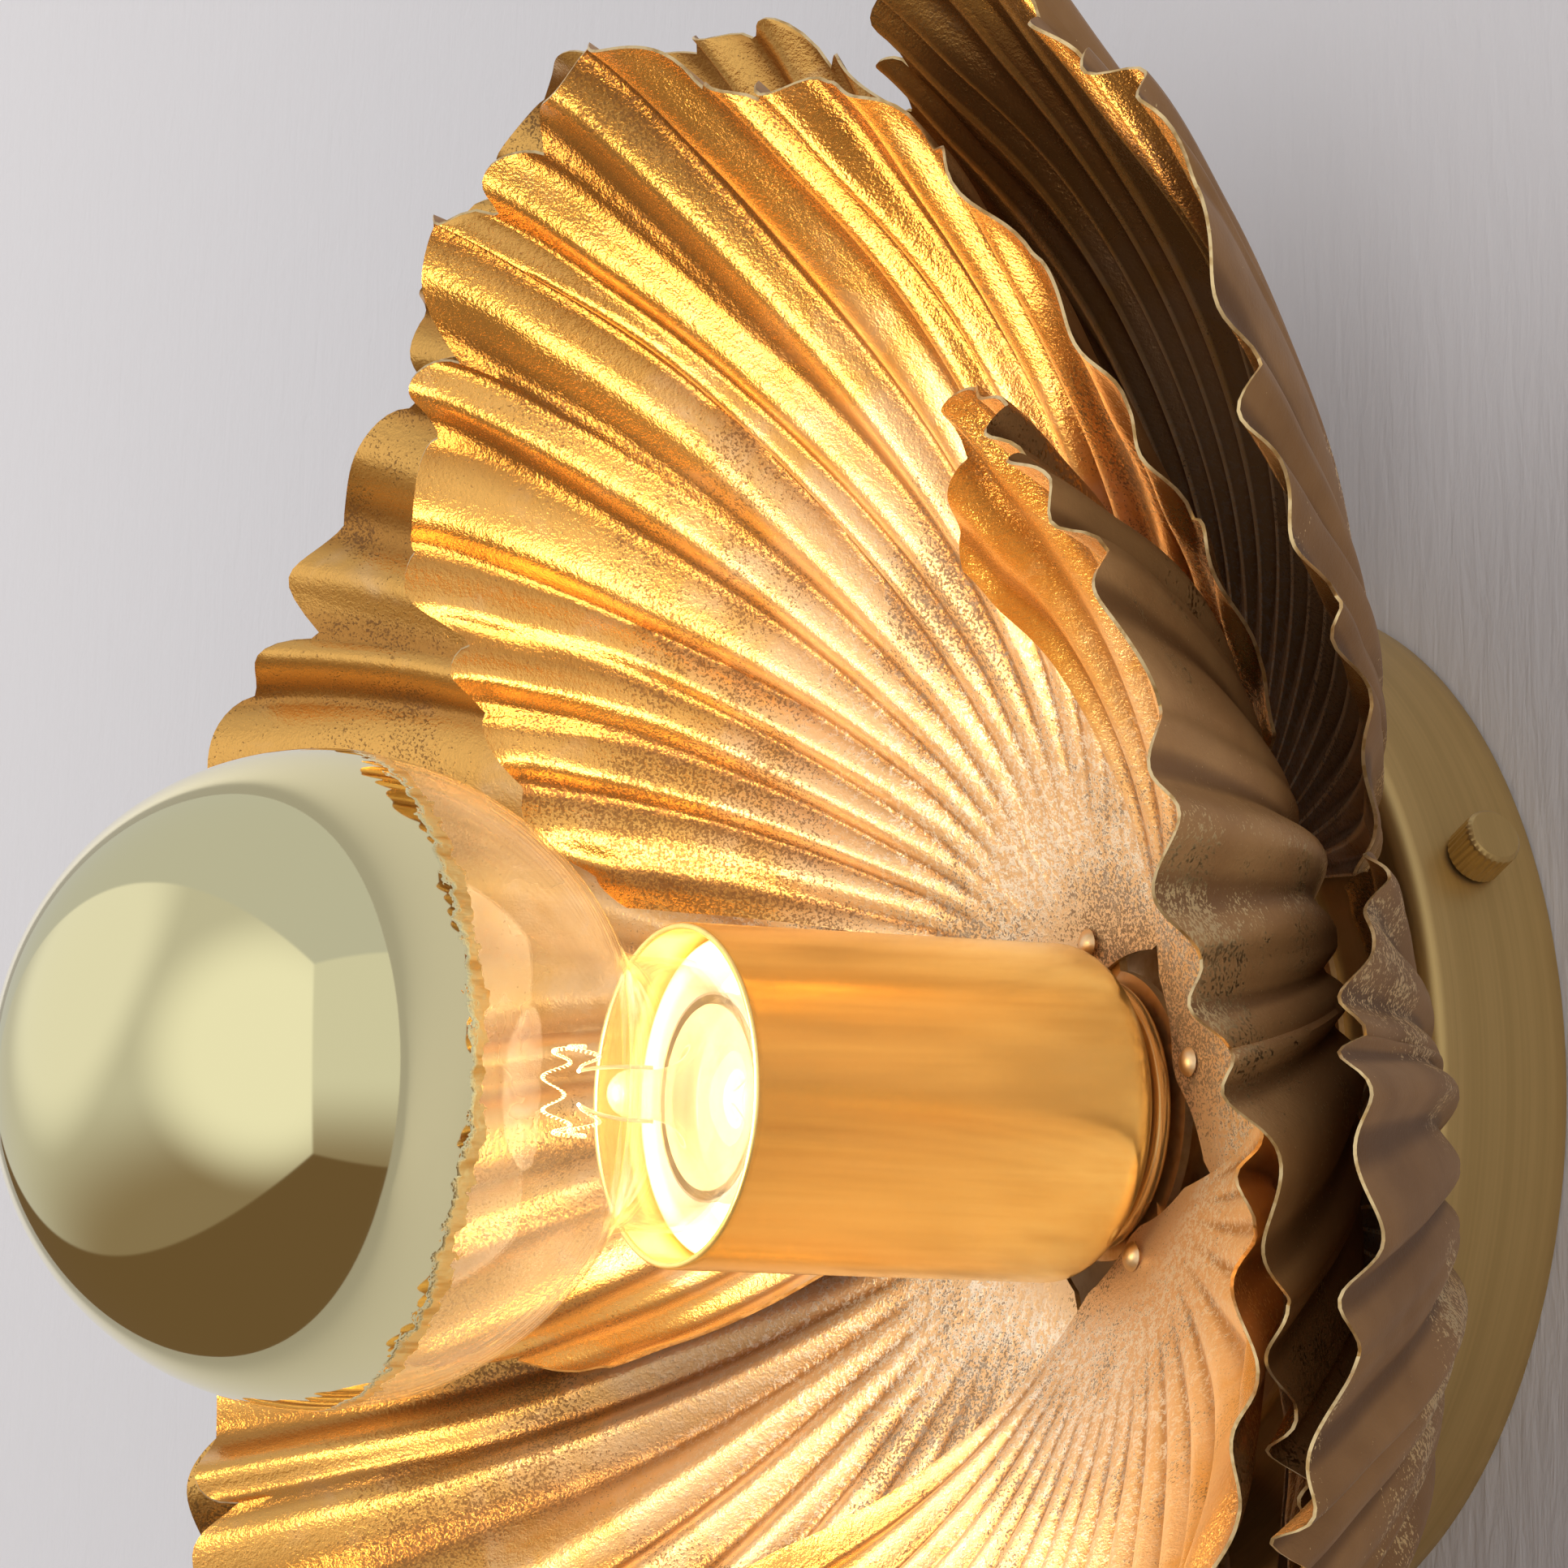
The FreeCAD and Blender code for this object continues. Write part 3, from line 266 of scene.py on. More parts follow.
def zincSteel():
    # Zinc plate: faint spangles, rubbed along Y.
    paint = Paint("zinc_steel")
    spangle = paint.node("TexVoronoi", None, {"Vector": paint.place(), "Scale": 240.0}, out="Color")
    flake = paint.node("SeparateColor", None, {0: spangle})
    rub = paint.noise(paint.stretched(900.0, 120.0, 900.0), 1.0, 3.0, 0.6)
    colour = paint.mix(flake * 0.6 + rub * 0.4, (0.46, 0.46, 0.45), (0.70, 0.70, 0.68))
    return paint.surface(Base_Color=colour, Metallic=1.0, Roughness=0.34 + 0.18 * flake,
                         Normal=paint.bump(rub, 0.1, 0.0002))


def glazedPorcelain():
    paint = Paint("glazed_porcelain")
    cloud = paint.noise(paint.place(), 70.0, 3.0, 0.5)
    pits = paint.noise(paint.place(), 700.0, 2.0, 0.5)
    colour = paint.mix(paint.step(cloud, 0.3, 0.75), (0.88, 0.86, 0.81), (0.80, 0.77, 0.71))
    return paint.surface(Base_Color=colour, Roughness=0.12 + 0.1 * pits, Coat_Weight=0.5,
                         Normal=paint.bump(pits, 0.05, 0.0003))


def bulbGlass(name, least, most, dark, light):
    # Thin clear glass: nearly open where it faces the eye (least), closing towards the outline (most).
    paint = Paint(name)
    facing = paint.node("LayerWeight", None, {"Blend": 0.32}, out="Facing")
    streak = paint.noise(paint.stretched(90.0, 30.0, 90.0), 1.0, 3.0, 0.55, 0.8)
    cover = paint.span(facing ** 1.6, least, most) + 0.03 * paint.step(streak, 0.55, 0.75)
    colour = paint.mix(streak, dark, light)
    return paint.surface(Base_Color=colour, Roughness=0.03, Alpha=cover, Specular_IOR_Level=0.9,
                         Coat_Weight=1.0)


mirroring = dict(edge=134.4 * mm, rag=1.9 * mm, rim=(1.4 * mm, 2.6 * mm), coat=(0.92, 0.85, 0.50),
                 foil=(0.96, 0.72, 0.28), fold=(0.74, 0.45, 0.12))


def mirrorCoat():
    # Pale gold mirror on the globe's front, torn into a ragged bright rim of crumpled foil at its back.
    # edge is the mean tear's distance from the wall, and rim where the foil ends before it.
    look = mirroring
    paint = Paint("bulb_mirror_coat")
    forward = paint.part(paint.stretched(1.0, -1.0, 1.0), "Y")
    ragged = paint.noise(paint.place(), 210.0, 4.0, 0.62)
    teeth = paint.noise(paint.place(), 700.0, 2.0, 0.5)
    past = forward - look["edge"] + (ragged - 0.5) * (2.4 * look["rag"]) + (teeth - 0.5) * look["rag"]
    cover = paint.step(past, -0.08 * mm, 0.08 * mm)
    crumple = paint.noise(paint.stretched(520.0, 90.0, 520.0), 1.0, 3.0, 0.6)
    rim = 1.0 - paint.step(past + (crumple - 0.5) * (2.0 * mm), *look["rim"])
    foil = paint.mix(paint.step(crumple, 0.32, 0.56), look["fold"], look["foil"])
    colour = paint.mix(rim, look["coat"], foil)
    haze = paint.noise(paint.place(), 30.0, 2.0, 0.5)
    return paint.surface(Base_Color=colour, Metallic=1.0 - 0.5 * rim,
                         Roughness=0.03 + 0.02 * haze + 0.26 * rim, Alpha=cover,
                         Normal=paint.bump((crumple + 0.4 * teeth) * rim, 0.4, 0.001))


def baseMetal():
    paint = Paint("bulb_base_metal")
    wear = paint.noise(paint.place(), 380.0, 3.0, 0.6)
    colour = paint.mix(wear, (0.60, 0.58, 0.53), (0.78, 0.76, 0.71))
    return paint.surface(Base_Color=colour, Metallic=1.0, Roughness=0.26 + 0.2 * wear)


def blackGlass():
    paint = Paint("black_insulator_glass")
    cloud = paint.noise(paint.place(), 300.0, 3.0, 0.6)
    return paint.surface(Base_Color=paint.mix(cloud, (0.012, 0.012, 0.014), (0.05, 0.05, 0.055)),
                         Roughness=0.1 + 0.15 * cloud)


def glowingWire():
    paint = Paint("glowing_filament")
    heat = paint.noise(paint.place(), 300.0, 2.0, 0.5)
    glow = paint.mix(heat, (1.0, 0.62, 0.24), (1.0, 0.84, 0.52))
    return paint.surface(Base_Color=(0.8, 0.6, 0.3), Roughness=0.5, Emission_Color=glow,
                         Emission_Strength=0.85)


def plasticSleeve(name, dark, light, roughness):
    paint = Paint(name)
    cloud = paint.noise(paint.place(), 240.0, 3.0, 0.6)
    grain = paint.noise(paint.place(), 2600.0, 2.0, 0.5)
    return paint.surface(Base_Color=paint.mix(cloud, dark, light), Roughness=roughness + 0.1 * cloud,
                         Normal=paint.bump(grain, 0.1, 0.0002))


insideGold = gildedInside("leaf_inside_gilded", 0.0)
# A copy of the gold inside in painted shade, for the outer leaves that lie in shadow.
insidePaintedShade = gildedInside("leaf_inside_painted_shade", 0.78)
# The backs of both rows are one finish in a lit and a shaded copy: the inner row's is painted lighter, to
# make up for the shade it lies in.
outsideInner = agedOutside("leaf_outside_inner_row",
                           (0.42, 0.215, 0.078), (0.54, 0.30, 0.115), (0.18, 0.08, 0.026))
outsideOuter = agedOutside("leaf_outside_outer_row",
                           (0.25, 0.125, 0.045), (0.34, 0.18, 0.07), (0.11, 0.048, 0.016))
edge = cutEdge()
cupBrass = satinBrass("cup_satin_brass", (520.0, 9.0, 520.0),
                      [(0.87, 0.62, 0.22), (0.96, 0.72, 0.28), (0.98, 0.82, 0.46)], 0.22)
collarBrass = satinBrass("collar_brass", (60.0, 900.0, 60.0),
                         [(0.56, 0.32, 0.12), (0.82, 0.54, 0.22), (0.40, 0.24, 0.10)], 0.24)
canopyBrass = turnedBrass()
brass = plainBrass("plain_brass", (0.66, 0.48, 0.22), (0.36, 0.24, 0.11))
footBrass = plainBrass("sanded_brass", (0.88, 0.66, 0.40), (0.62, 0.40, 0.18))
steel = zincSteel()
porcelain = glazedPorcelain()
clearGlass = bulbGlass("bulb_clear_glass", 0.05, 0.58, (0.17, 0.12, 0.07), (0.32, 0.245, 0.155))
# The stem is the same thin glass painted pale warm yellow: a painted glow, for the filament's light on it.
stemGlass = bulbGlass("bulb_stem_glass", 0.25, 0.6, (0.86, 0.66, 0.36), (0.96, 0.84, 0.60))
mirror = mirrorCoat()
metalBase = baseMetal()
insulator = blackGlass()
hotWire = glowingWire()
blackSleeve = plasticSleeve("live_sleeve", (0.02, 0.02, 0.02), (0.05, 0.05, 0.05), 0.35)
whiteSleeve = plasticSleeve("neutral_sleeve", (0.80, 0.79, 0.75), (0.90, 0.89, 0.86), 0.35)
blockPlastic = plasticSleeve("block_plastic", (0.78, 0.75, 0.67), (0.88, 0.86, 0.79), 0.45)
print("materials made:", len(bpy.data.materials))


weldGap = 1e-7  # metres


def gridFaces(rows, columns, closed=False):
    # Quads of a grid of rows x columns points, row by row; closed joins the last column to the first.
    index = np.arange(rows * columns).reshape(rows, columns)
    if closed:
        index = np.concatenate([index, index[:, :1]], axis=1)
    corners = [index[:-1, :-1], index[:-1, 1:], index[1:, 1:], index[1:, :-1]]
    return np.stack(corners, axis=-1).reshape(-1, 4)


def makePiece(name, points, faces, body, nodes, materials, materialOf=None, sharp=40.0, layers=None):
    mesh = bpy.data.meshes.new(name)
    mesh.from_pydata(np.asarray(points).reshape(-1, 3), [], np.asarray(faces))
    for material in materials:
        mesh.materials.append(material)
    if materialOf is not None:
        mesh.polygons.foreach_set("material_index", np.asarray(materialOf, dtype=np.int32))
    if layers is None:  # points that meet on an axis become one
        form = bmesh.new()
        form.from_mesh(mesh)
        bmesh.ops.remove_doubles(form, verts=form.verts, dist=weldGap)
        form.to_mesh(mesh)
        form.free()
    for layer, values in (layers or {}).items():
        numbers = np.ravel(values).astype(np.float32)
        mesh.attributes.new(layer, "FLOAT", "POINT").data.foreach_set("value", numbers)
    mesh.polygons.foreach_set("use_smooth", np.ones(len(mesh.polygons), dtype=bool))
    mesh.set_sharp_from_angle(angle=math.radians(sharp))
    mesh.update()
    piece = bpy.data.objects.new(name, mesh)
    bpy.context.scene.collection.objects.link(piece)
    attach(piece, body)
    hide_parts(*nodes)


def arc(centre, radius, start, stop, steps):
    # Points of an arc in (radius, forward) coordinates, angles in degrees from +radius towards +forward.
    angle = np.radians(np.linspace(start, stop, steps))
    return np.stack([centre[0] + radius * np.cos(angle), centre[1] + radius * np.sin(angle)], axis=-1)


def straight(radius, start, stop, steps):
    # Points at one radius, from start to stop along forward.
    return np.stack([np.full(steps, radius), np.linspace(start, stop, steps)], axis=-1)


def turnedPoints(profile, steps):
    # A profile of (radius, forward) points in mm carried round the sconce's axis.
    profile = np.asarray(profile, dtype=float) * mm
    angle = np.linspace(0.0, 2.0 * np.pi, steps, endpoint=False)
    radius, forward = profile[:, 0, None], profile[:, 1, None] + 0.0 * angle
    return np.stack([radius * np.cos(angle), -forward, radius * np.sin(angle)], axis=-1)


def turnedFaces(count, steps, loop):
    faces = gridFaces(count, steps, closed=True)
    if loop:  # the profile comes back to its first point
        first, last = np.arange(steps), np.arange(steps) + (count - 1) * steps
        seam = np.stack([last, np.roll(last, -1), np.roll(first, -1), first], axis=-1)
        faces = np.concatenate([faces, seam])
    return faces


def turned(name, profile, body, nodes, material, steps=160, loop=True, sharp=40.0):
    # A turned piece. Profiles run counter-clockwise with forward up, so that faces point outwards.
    points, faces = turnedPoints(profile, steps), turnedFaces(len(profile), steps, loop)
    makePiece(name, points, faces, body, nodes, [material], sharp=sharp)


def tubeAlong(path, radius, sides):
    # A round wire: a circle of an even number of sides carried along a path of points, with flat caps.
    path = np.asarray(path)
    along = np.gradient(path, axis=0)
    along /= np.linalg.norm(along, axis=1, keepdims=True)
    side = np.cross(along, np.array([0.13, 0.61, 0.78]))  # a direction that the path does not take
    side /= np.linalg.norm(side, axis=1, keepdims=True)
    up = np.cross(along, side)
    angle = np.linspace(0.0, 2.0 * np.pi, sides, endpoint=False)[None, :, None]
    points = path[:, None] + radius * (np.cos(angle) * side[:, None] + np.sin(angle) * up[:, None])
    cap = np.array([(0, corner, corner + 1, corner + 2) for corner in range(1, sides - 2, 2)])
    return points, np.concatenate([gridFaces(len(path), sides, closed=True), cap[:, ::-1],
                                   cap + (len(path) - 1) * sides])


# The leaves, in mm and degrees. An apex is (distance from the axis, distance from the wall).
leaf = dict(length=138.0, thickness=0.8, rimThickness=0.45, foot=3.0, claw=10.0, ribs=19, ribDepth=3.1,
            scallop=2.4, lobe=1.8, flare=1.9, lip=1.1, sway=2.0, uneven=0.22, calm=0.65,
            columns=19 * 14, rows=96)
leafRows = {
    "inner": dict(apex=(15.0, 25.8), fan=69.0, shoulder=0.46),
    "outer": dict(apex=(35.0, 20.8), fan=57.0, shoulder=0.5),
}
leafGrowth = dict(  # where along the leaf each starts, and over what share of its length it grows
    sway=(0.05, 0.35), uneven=(0.25, 0.5), ribs=(0.14, 0.42), ruffle=(0.7, 0.3), rim=(0.8, 0.2),
    lip=(0.86, 0.14))
leafWaves = dict(  # radians per rib, all out of step with one another
    uneven=(1.3, 2.9), notch=2.2, lobe=(1.9, 3.7), crest=2.6, flare=1.4)
bends = {  # azimuth, lean, curl, left flank, right flank, twist, swirl of the ribs
    "inner_leaf_right": (13.5, 0.5, 64, 52.5, 30, 7, -6),
    "inner_leaf_top": (92.5, 8, 53, 63.5, 41.5, 6, 9),
    "inner_leaf_upper_left": (150, 10.5, 34, 61, 40.5, 10.5, 7),
    "inner_leaf_lower_left": (220.5, 8.5, 60, 29, 16, -3, 6),
    "inner_leaf_lower_right": (301, 15.5, 28, 45.5, 50.5, -3.5, -7),
    "outer_leaf_upper_right": (53, 4.5, 53, 42.5, 43, 1.5, 8),
    "outer_leaf_upper_left": (125.5, 1, 38, 63.5, 21.5, 0, 7),
    "outer_leaf_left": (198.5, 4, 47.5, 44, 3.5, 1, 6),
    "outer_leaf_bottom": (269.5, 3.5, 51.5, 54, 1.5, 0, -6),
    "outer_leaf_lower_right": (336.5, 1, 58, 47, 22, 0.5, -6),
}
# Outer leaves whose insides lie in shadow get the copy in painted shade.
paintedShadeLeaves = ("outer_leaf_upper_right", "outer_leaf_lower_right")


def smooth(value):
    value = np.clip(value, 0.0, 1.0)
    return value * value * (3.0 - 2.0 * value)


def grown(along, key):  # 0 before the start, 1 once grown
    start, share = leafGrowth[key]
    return smooth((along - start) / share)


def leafSheet(name, across, along, side):
    # A fan of ribs from the apex, each an arc that curls forward. The ribs swirl within the sheet: they keep
    # their number over across, while spread says where in the fan they lie. On each side round bulges meet
    # in narrow creases; they deepen towards a lobed rim that rolls and ruffles. side is 1 inside and -1
    # outside. Gives points in metres and the rib height from -1 to 1.
    azimuth, lean, curl, left, right, twist, swirl = np.radians(bends[name])
    row = leafRows[name.split("_")[0]]
    wave = leafWaves
    phase = 3 * azimuth  # makes each leaf's waves its own
    ruffle = grown(along, "ruffle")
    sway = math.radians(leaf["sway"]) * grown(along, "sway") * np.sin(5 * along + 1.5 * across + phase)
    spread = across + (swirl * along ** 2 + sway) / math.radians(row["fan"]) * (1 - across ** 2)
    bendAt = np.maximum(curl + (np.where(spread > 0, left, right) - curl) * spread ** 2, 1e-3)
    fan = np.radians(row["fan"] * spread)
    rib = leaf["ribs"] * (across + 1) / 2
    uneven = leaf["uneven"] * grown(along, "uneven") * (1 - across ** 6)
    rib = rib + uneven * (np.sin(wave["uneven"][0] * rib + phase) + 0.5 * np.sin(wave["uneven"][1] * rib))
    calm = 1 - leaf["calm"] * across ** 4
    bulge = np.abs(np.cos(np.pi * rib))
    start = leaf["foot"] + leaf["claw"] * np.abs(spread) ** 3
    reach = leaf["length"] * (1 - row["shoulder"] * spread ** 2) - start
    notch = 1 + 0.7 * np.sin(wave["notch"] * rib + phase)
    reach = reach + leaf["scallop"] * calm * (0.8 - 2 * notch * (1 - bulge ** 0.8))
    lobes = np.sin(wave["lobe"][0] * rib + phase) + 0.6 * np.sin(wave["lobe"][1] * rib + 2 * phase)
    reach = reach + leaf["lobe"] * lobes
    power = 1.4 + 0.6 * ruffle
    ridge = 2 * bulge ** power - 1 if side > 0 else 1 - 2 * np.abs(np.sin(np.pi * rib)) ** power
    swell = 1 + ruffle * (0.25 + 0.4 * np.sin(wave["crest"] * rib + phase))
    crest = calm * grown(along, "ribs") * swell
    thickness = leaf["thickness"] + (leaf["rimThickness"] - leaf["thickness"]) * grown(along, "rim")
    height = side * thickness / 2 + leaf["ribDepth"] / 2 * crest * ridge
    height = height + leaf["flare"] * ruffle * np.sin(wave["flare"] * rib + phase)
    height = height - leaf["lip"] * grown(along, "lip")
    turn = bendAt * along
    out = start + reach * np.sin(turn) / bendAt - height * np.sin(turn)
    rise = reach * (1 - np.cos(turn)) / bendAt + height * np.cos(turn)
    radial = np.array([np.cos(azimuth), 0, np.sin(azimuth)])
    around = np.array([-np.sin(azimuth), 0, np.cos(azimuth)])
    forward = np.array([0, -1.0, 0])
    leaned = np.cos(lean) * radial + np.sin(lean) * forward
    normal = -np.sin(lean) * radial + np.cos(lean) * forward
    twisted = np.cos(twist) * around + np.sin(twist) * normal
    facing = -np.sin(twist) * around + np.cos(twist) * normal
    points = (row["apex"][0] * radial + row["apex"][1] * forward + (out * np.cos(fan))[..., None] * leaned
              + (out * np.sin(fan))[..., None] * twisted + rise[..., None] * facing)
    return points * mm, ridge + 0 * out


def makeLeaf(name):
    # Two sheets, inside and outside, and a strip round the rim that joins them.
    columns, rows = leaf["columns"], leaf["rows"]
    across = np.linspace(-1, 1, columns + 1)[:, None]
    along = np.linspace(0, 1, rows + 1)[None, :]
    front, ridges = leafSheet(name, across, along, 1)
    back, hollows = leafSheet(name, across, along, -1)
    points = np.concatenate([front.reshape(-1, 3), back.reshape(-1, 3)])
    count = front.shape[0] * front.shape[1]
    inside = gridFaces(columns + 1, rows + 1)
    index = np.arange(count).reshape(columns + 1, rows + 1)
    ring = np.concatenate([index[:, 0], index[-1, 1:], index[-2::-1, -1], index[0, -2:0:-1]])
    following = np.roll(ring, -1)
    rim = np.stack([ring, following, following + count, ring + count], axis=-1)
    faces = np.concatenate([inside, inside[:, ::-1] + count, rim])
    which = np.repeat([0, 1, 2], [len(inside), len(inside), len(rim)])
    lengthwise = np.broadcast_to(along, ridges.shape)
    layers = {"rib": np.concatenate([ridges.ravel(), hollows.ravel()]),
              "along": np.concatenate([lengthwise.ravel(), lengthwise.ravel()])}
    gold = insidePaintedShade if name in paintedShadeLeaves else insideGold
    brown = outsideInner if name.startswith("inner") else outsideOuter
    makePiece(name + "_sheet", points, faces, "sconce", [name], [gold, brown, edge], which,
              sharp=55.0, layers=layers)


for name in bends:
    makeLeaf(name)
print("leaves made:", len(bends))


canopy = dict(radius=66.0, depth=19.5, wall=1.2, edge=2.5, hole=5.05, bevel=0.2)


def makeCanopy():
    # A drum open to the wall: side, rounded edge, front with a hole for the tube, and back along the inside.
    radius, depth, wall, edgeRadius = (canopy[key] for key in ("radius", "depth", "wall", "edge"))
    hole, bevel = canopy["hole"], canopy["bevel"]
    inner = radius - wall
    face = np.linspace(radius - edgeRadius - 1, hole + bevel, 6)
    profile = np.concatenate([
        [(inner, 0.25), (inner + bevel, 0.0), (radius - bevel, 0.0), (radius, 0.25)],
        straight(radius, 2.0, depth - edgeRadius - 0.5, 5),
        arc((radius - edgeRadius, depth - edgeRadius), edgeRadius, 0, 90, 12),
        np.stack([face, np.full(6, depth)], axis=-1),
        [(hole, depth - bevel), (hole, depth - wall)],
        [(inner - edgeRadius + wall, depth - wall)],
        arc((inner - edgeRadius + wall, depth - edgeRadius), edgeRadius - wall, 90, 0, 8)[1:]])
    turned("canopy_shell", profile, "sconce", ["canopy_drum"], canopyBrass, steps=256)


thumbScrew = dict(angle=25.0, forward=9.5, seat=66.3, headRadius=3.75, headHeight=5.5, shankRadius=1.95,
                  shankLength=9.3, knurls=28, knurlDepth=0.16, chamfer=0.45)


def makeThumbScrew(name, body, turn):
    # A profile of (radius, out) turned about the screw's own axis, with knurls pressed into the head's side:
    # the third value says how deep, from 0 to 1.
    t = thumbScrew
    head, top, shank, tail = t["headRadius"], t["headHeight"], t["shankRadius"], -t["shankLength"]
    profile = np.array([
        (0.0, tail, 0.0), (shank - 0.4, tail, 0.0), (shank, tail + 0.4, 0.0), (shank, -0.05, 0.0),
        (shank, 0.0, 0.0), (head - 0.3, 0.0, 0.0), (head, 0.3, 0.4), (head, 0.5, 1.0),
        (head, top - 1.0, 1.0), (head, top - 0.8, 0.4), (head - 0.1, top - t["chamfer"], 0.0),
        (head - t["chamfer"] - 0.1, top, 0.0), (head - 1.2, top, 0.0), (0.0, top, 0.0)])
    angle = np.linspace(0, 2 * np.pi, t["knurls"] * 8, endpoint=False)
    pressed = t["knurlDepth"] * profile[:, 2:]
    radius = profile[:, :1] - pressed * (0.5 + 0.5 * np.cos(t["knurls"] * angle))
    heading = math.radians(t["angle"] + turn)
    outward = np.array([math.cos(heading), 0, math.sin(heading)])
    sideways = np.array([-math.sin(heading), 0, math.cos(heading)])
    up = np.cross(outward, sideways)
    base = outward * t["seat"] - np.array([0, t["forward"], 0])
    points = (base + profile[:, 1, None, None] * outward + (radius * np.cos(angle))[..., None] * sideways
              + (radius * np.sin(angle))[..., None] * up)
    makePiece(name + "_knurled", points * mm, turnedFaces(len(profile), len(angle), False), body,
              [name], [canopyBrass], sharp=35.0)


makeCanopy()
makeThumbScrew("thumb_screw_right", "right_thumb_screw", 0)
makeThumbScrew("thumb_screw_left", "left_thumb_screw", 180)
print("canopy made")


cup = dict(radius=21.5, back=30.0, mouth=88.2, wall=1.0, edge=4.5, hole=5.05)


def makeCup():
    # Closed back with a hole for the tube, rounded edge, side, rolled lip, and back along the inside.
    radius, back, mouth, wall, edgeRadius = (cup[key] for key in ("radius", "back", "mouth", "wall", "edge"))
    corner = (radius - edgeRadius, back + edgeRadius)
    profile = np.concatenate([
        [(cup["hole"], back)], arc(corner, edgeRadius, -90, 0, 14),
        straight(radius, back + 7, mouth - 1.2, 9),
        arc((radius - wall / 2, mouth - wall / 2), wall / 2, 0, 180, 9),
        straight(radius - wall, mouth - 2, back + edgeRadius + 2, 5),
        arc(corner, edgeRadius - wall, 0, -90, 10), [(cup["hole"], back + wall)]])
    turned("cup_shell", profile, "sconce", ["socket_cup"], cupBrass, steps=224)


collar = dict(flange=17.5, hub=12.0, neck=13.5, back=25.3, flangeBack=26.2, flangeFront=28.8, front=30.0,
              hole=5.05, bevel=0.2)


def makeCollar():
    # A hub behind, a flange with a half-round edge and a neck in front.
    c = collar
    half = (c["flangeFront"] - c["flangeBack"]) / 2
    profile = np.concatenate([
        [(c["hole"], c["back"]), (c["hub"] - c["bevel"], c["back"]), (c["hub"], c["back"] + c["bevel"]),
         (c["hub"], c["flangeBack"])],
        arc((c["flange"] - half, c["flangeBack"] + half), half, -90, 90, 17),
        [(c["neck"], c["flangeFront"]), (c["neck"], c["front"]), (c["hole"], c["front"])]])
    turned("collar_ring", profile, "sconce", ["collar"], collarBrass, steps=160)


holder = dict(back=53.0, front=82.4, tail=14.6, shoulder=66.0, flare=72.0, wide=20.2, mouth=17.4,
              mouthFloor=76.0, bore=14.1, floor=57.0)


def makePorcelain():
    # A tail that flares into a ring with a round lip, a shallow mouth, and a bore down to the floor.
    h = holder
    lip = (h["wide"] - h["mouth"]) / 2
    profile = np.concatenate([
        [(0.0, h["back"]), (h["tail"] - 0.6, h["back"]), (h["tail"], h["back"] + 0.6),
         (h["tail"], h["shoulder"]), (h["wide"] - 0.4, h["flare"] - 0.4), (h["wide"], h["flare"] + 0.4)],
        arc((h["wide"] - lip, h["front"] - lip), lip, 0, 180, 15),
        [(h["mouth"], h["mouthFloor"] + 0.5), (h["mouth"] - 0.5, h["mouthFloor"]),
         (h["bore"] + 0.4, h["mouthFloor"]), (h["bore"], h["mouthFloor"] - 0.4), (h["bore"], h["floor"]),
         (0.0, h["floor"])]])
    turned("porcelain_holder", profile, "sconce", ["lampholder_body"], porcelain, loop=False)


thread = dict(pitch=3.629, depth=0.55, wall=0.3, ease=1.5, perTurn=72, rows=61)
socket = dict(radius=13.45, back=57.0, front=77.0)


def threadedSleeve(name, radius, back, front, body, node, material):
    # A thin sleeve rolled into a round screw thread: radius less depth times a cosine wave, whose phase is
    # the angle less one turn for each pitch forward. The thread eases out at both ends.
    angle = np.linspace(0, 2 * np.pi, thread["perTurn"], endpoint=False)[None, :]
    forward = np.linspace(back, front, thread["rows"])[:, None]
    ease = smooth((forward - back) / thread["ease"]) * smooth((front - forward) / thread["ease"])
    wave = 0.5 + 0.5 * np.cos(angle - 2 * np.pi * (forward - back) / thread["pitch"])
    outside = radius - thread["depth"] * ease * wave
    inside, outside = (np.stack([r * np.cos(angle), -forward + 0 * r, r * np.sin(angle)], axis=-1)
                       for r in (outside - thread["wall"], outside))
    points = np.concatenate([inside[::-1], outside])
    makePiece(name, points * mm, turnedFaces(points.shape[0], points.shape[1], True), body, [node],
              [material], sharp=60.0)


makeCup()
makeCollar()
makePorcelain()
threadedSleeve("socket_thread", socket["radius"], socket["back"], socket["front"], "sconce",
               "lampholder_screw_shell", brass)
print("cup and lampholder made")


bulb = dict(centre=136.3, radius=40.0, glass=39.7, wall=0.8, neck=17.0, blend=12.0, throat=12.6, flare=83.1,
            tuck=4.5, mirrorBack=131.5, mirrorWall=0.2)
stem = dict(back=78.5, radius=11.6, front=83.1, sweep=8.5, post=3.0, tip=94.0)
lampBase = dict(radius=13.1, back=64.5, front=83.0, insulatorBack=61.0, insulatorRadius=12.9, tipBack=58.6)


def globeProfile(radius, neck, blend, lift):
    # Neck, hollow blend and globe, touching smoothly, from the neck up to the front pole.
    out = neck + blend
    drop = math.sqrt((radius + blend) ** 2 - out ** 2)
    touch = math.degrees(math.atan2(-drop, out))
    return np.concatenate([
        [(neck, lift), (neck, bulb["centre"] - drop - 2.0)],
        arc((out, bulb["centre"] - drop), blend, 180, 180 + touch, 14)[:-1],
        arc((0.0, bulb["centre"]), radius, touch, 90, 72)])


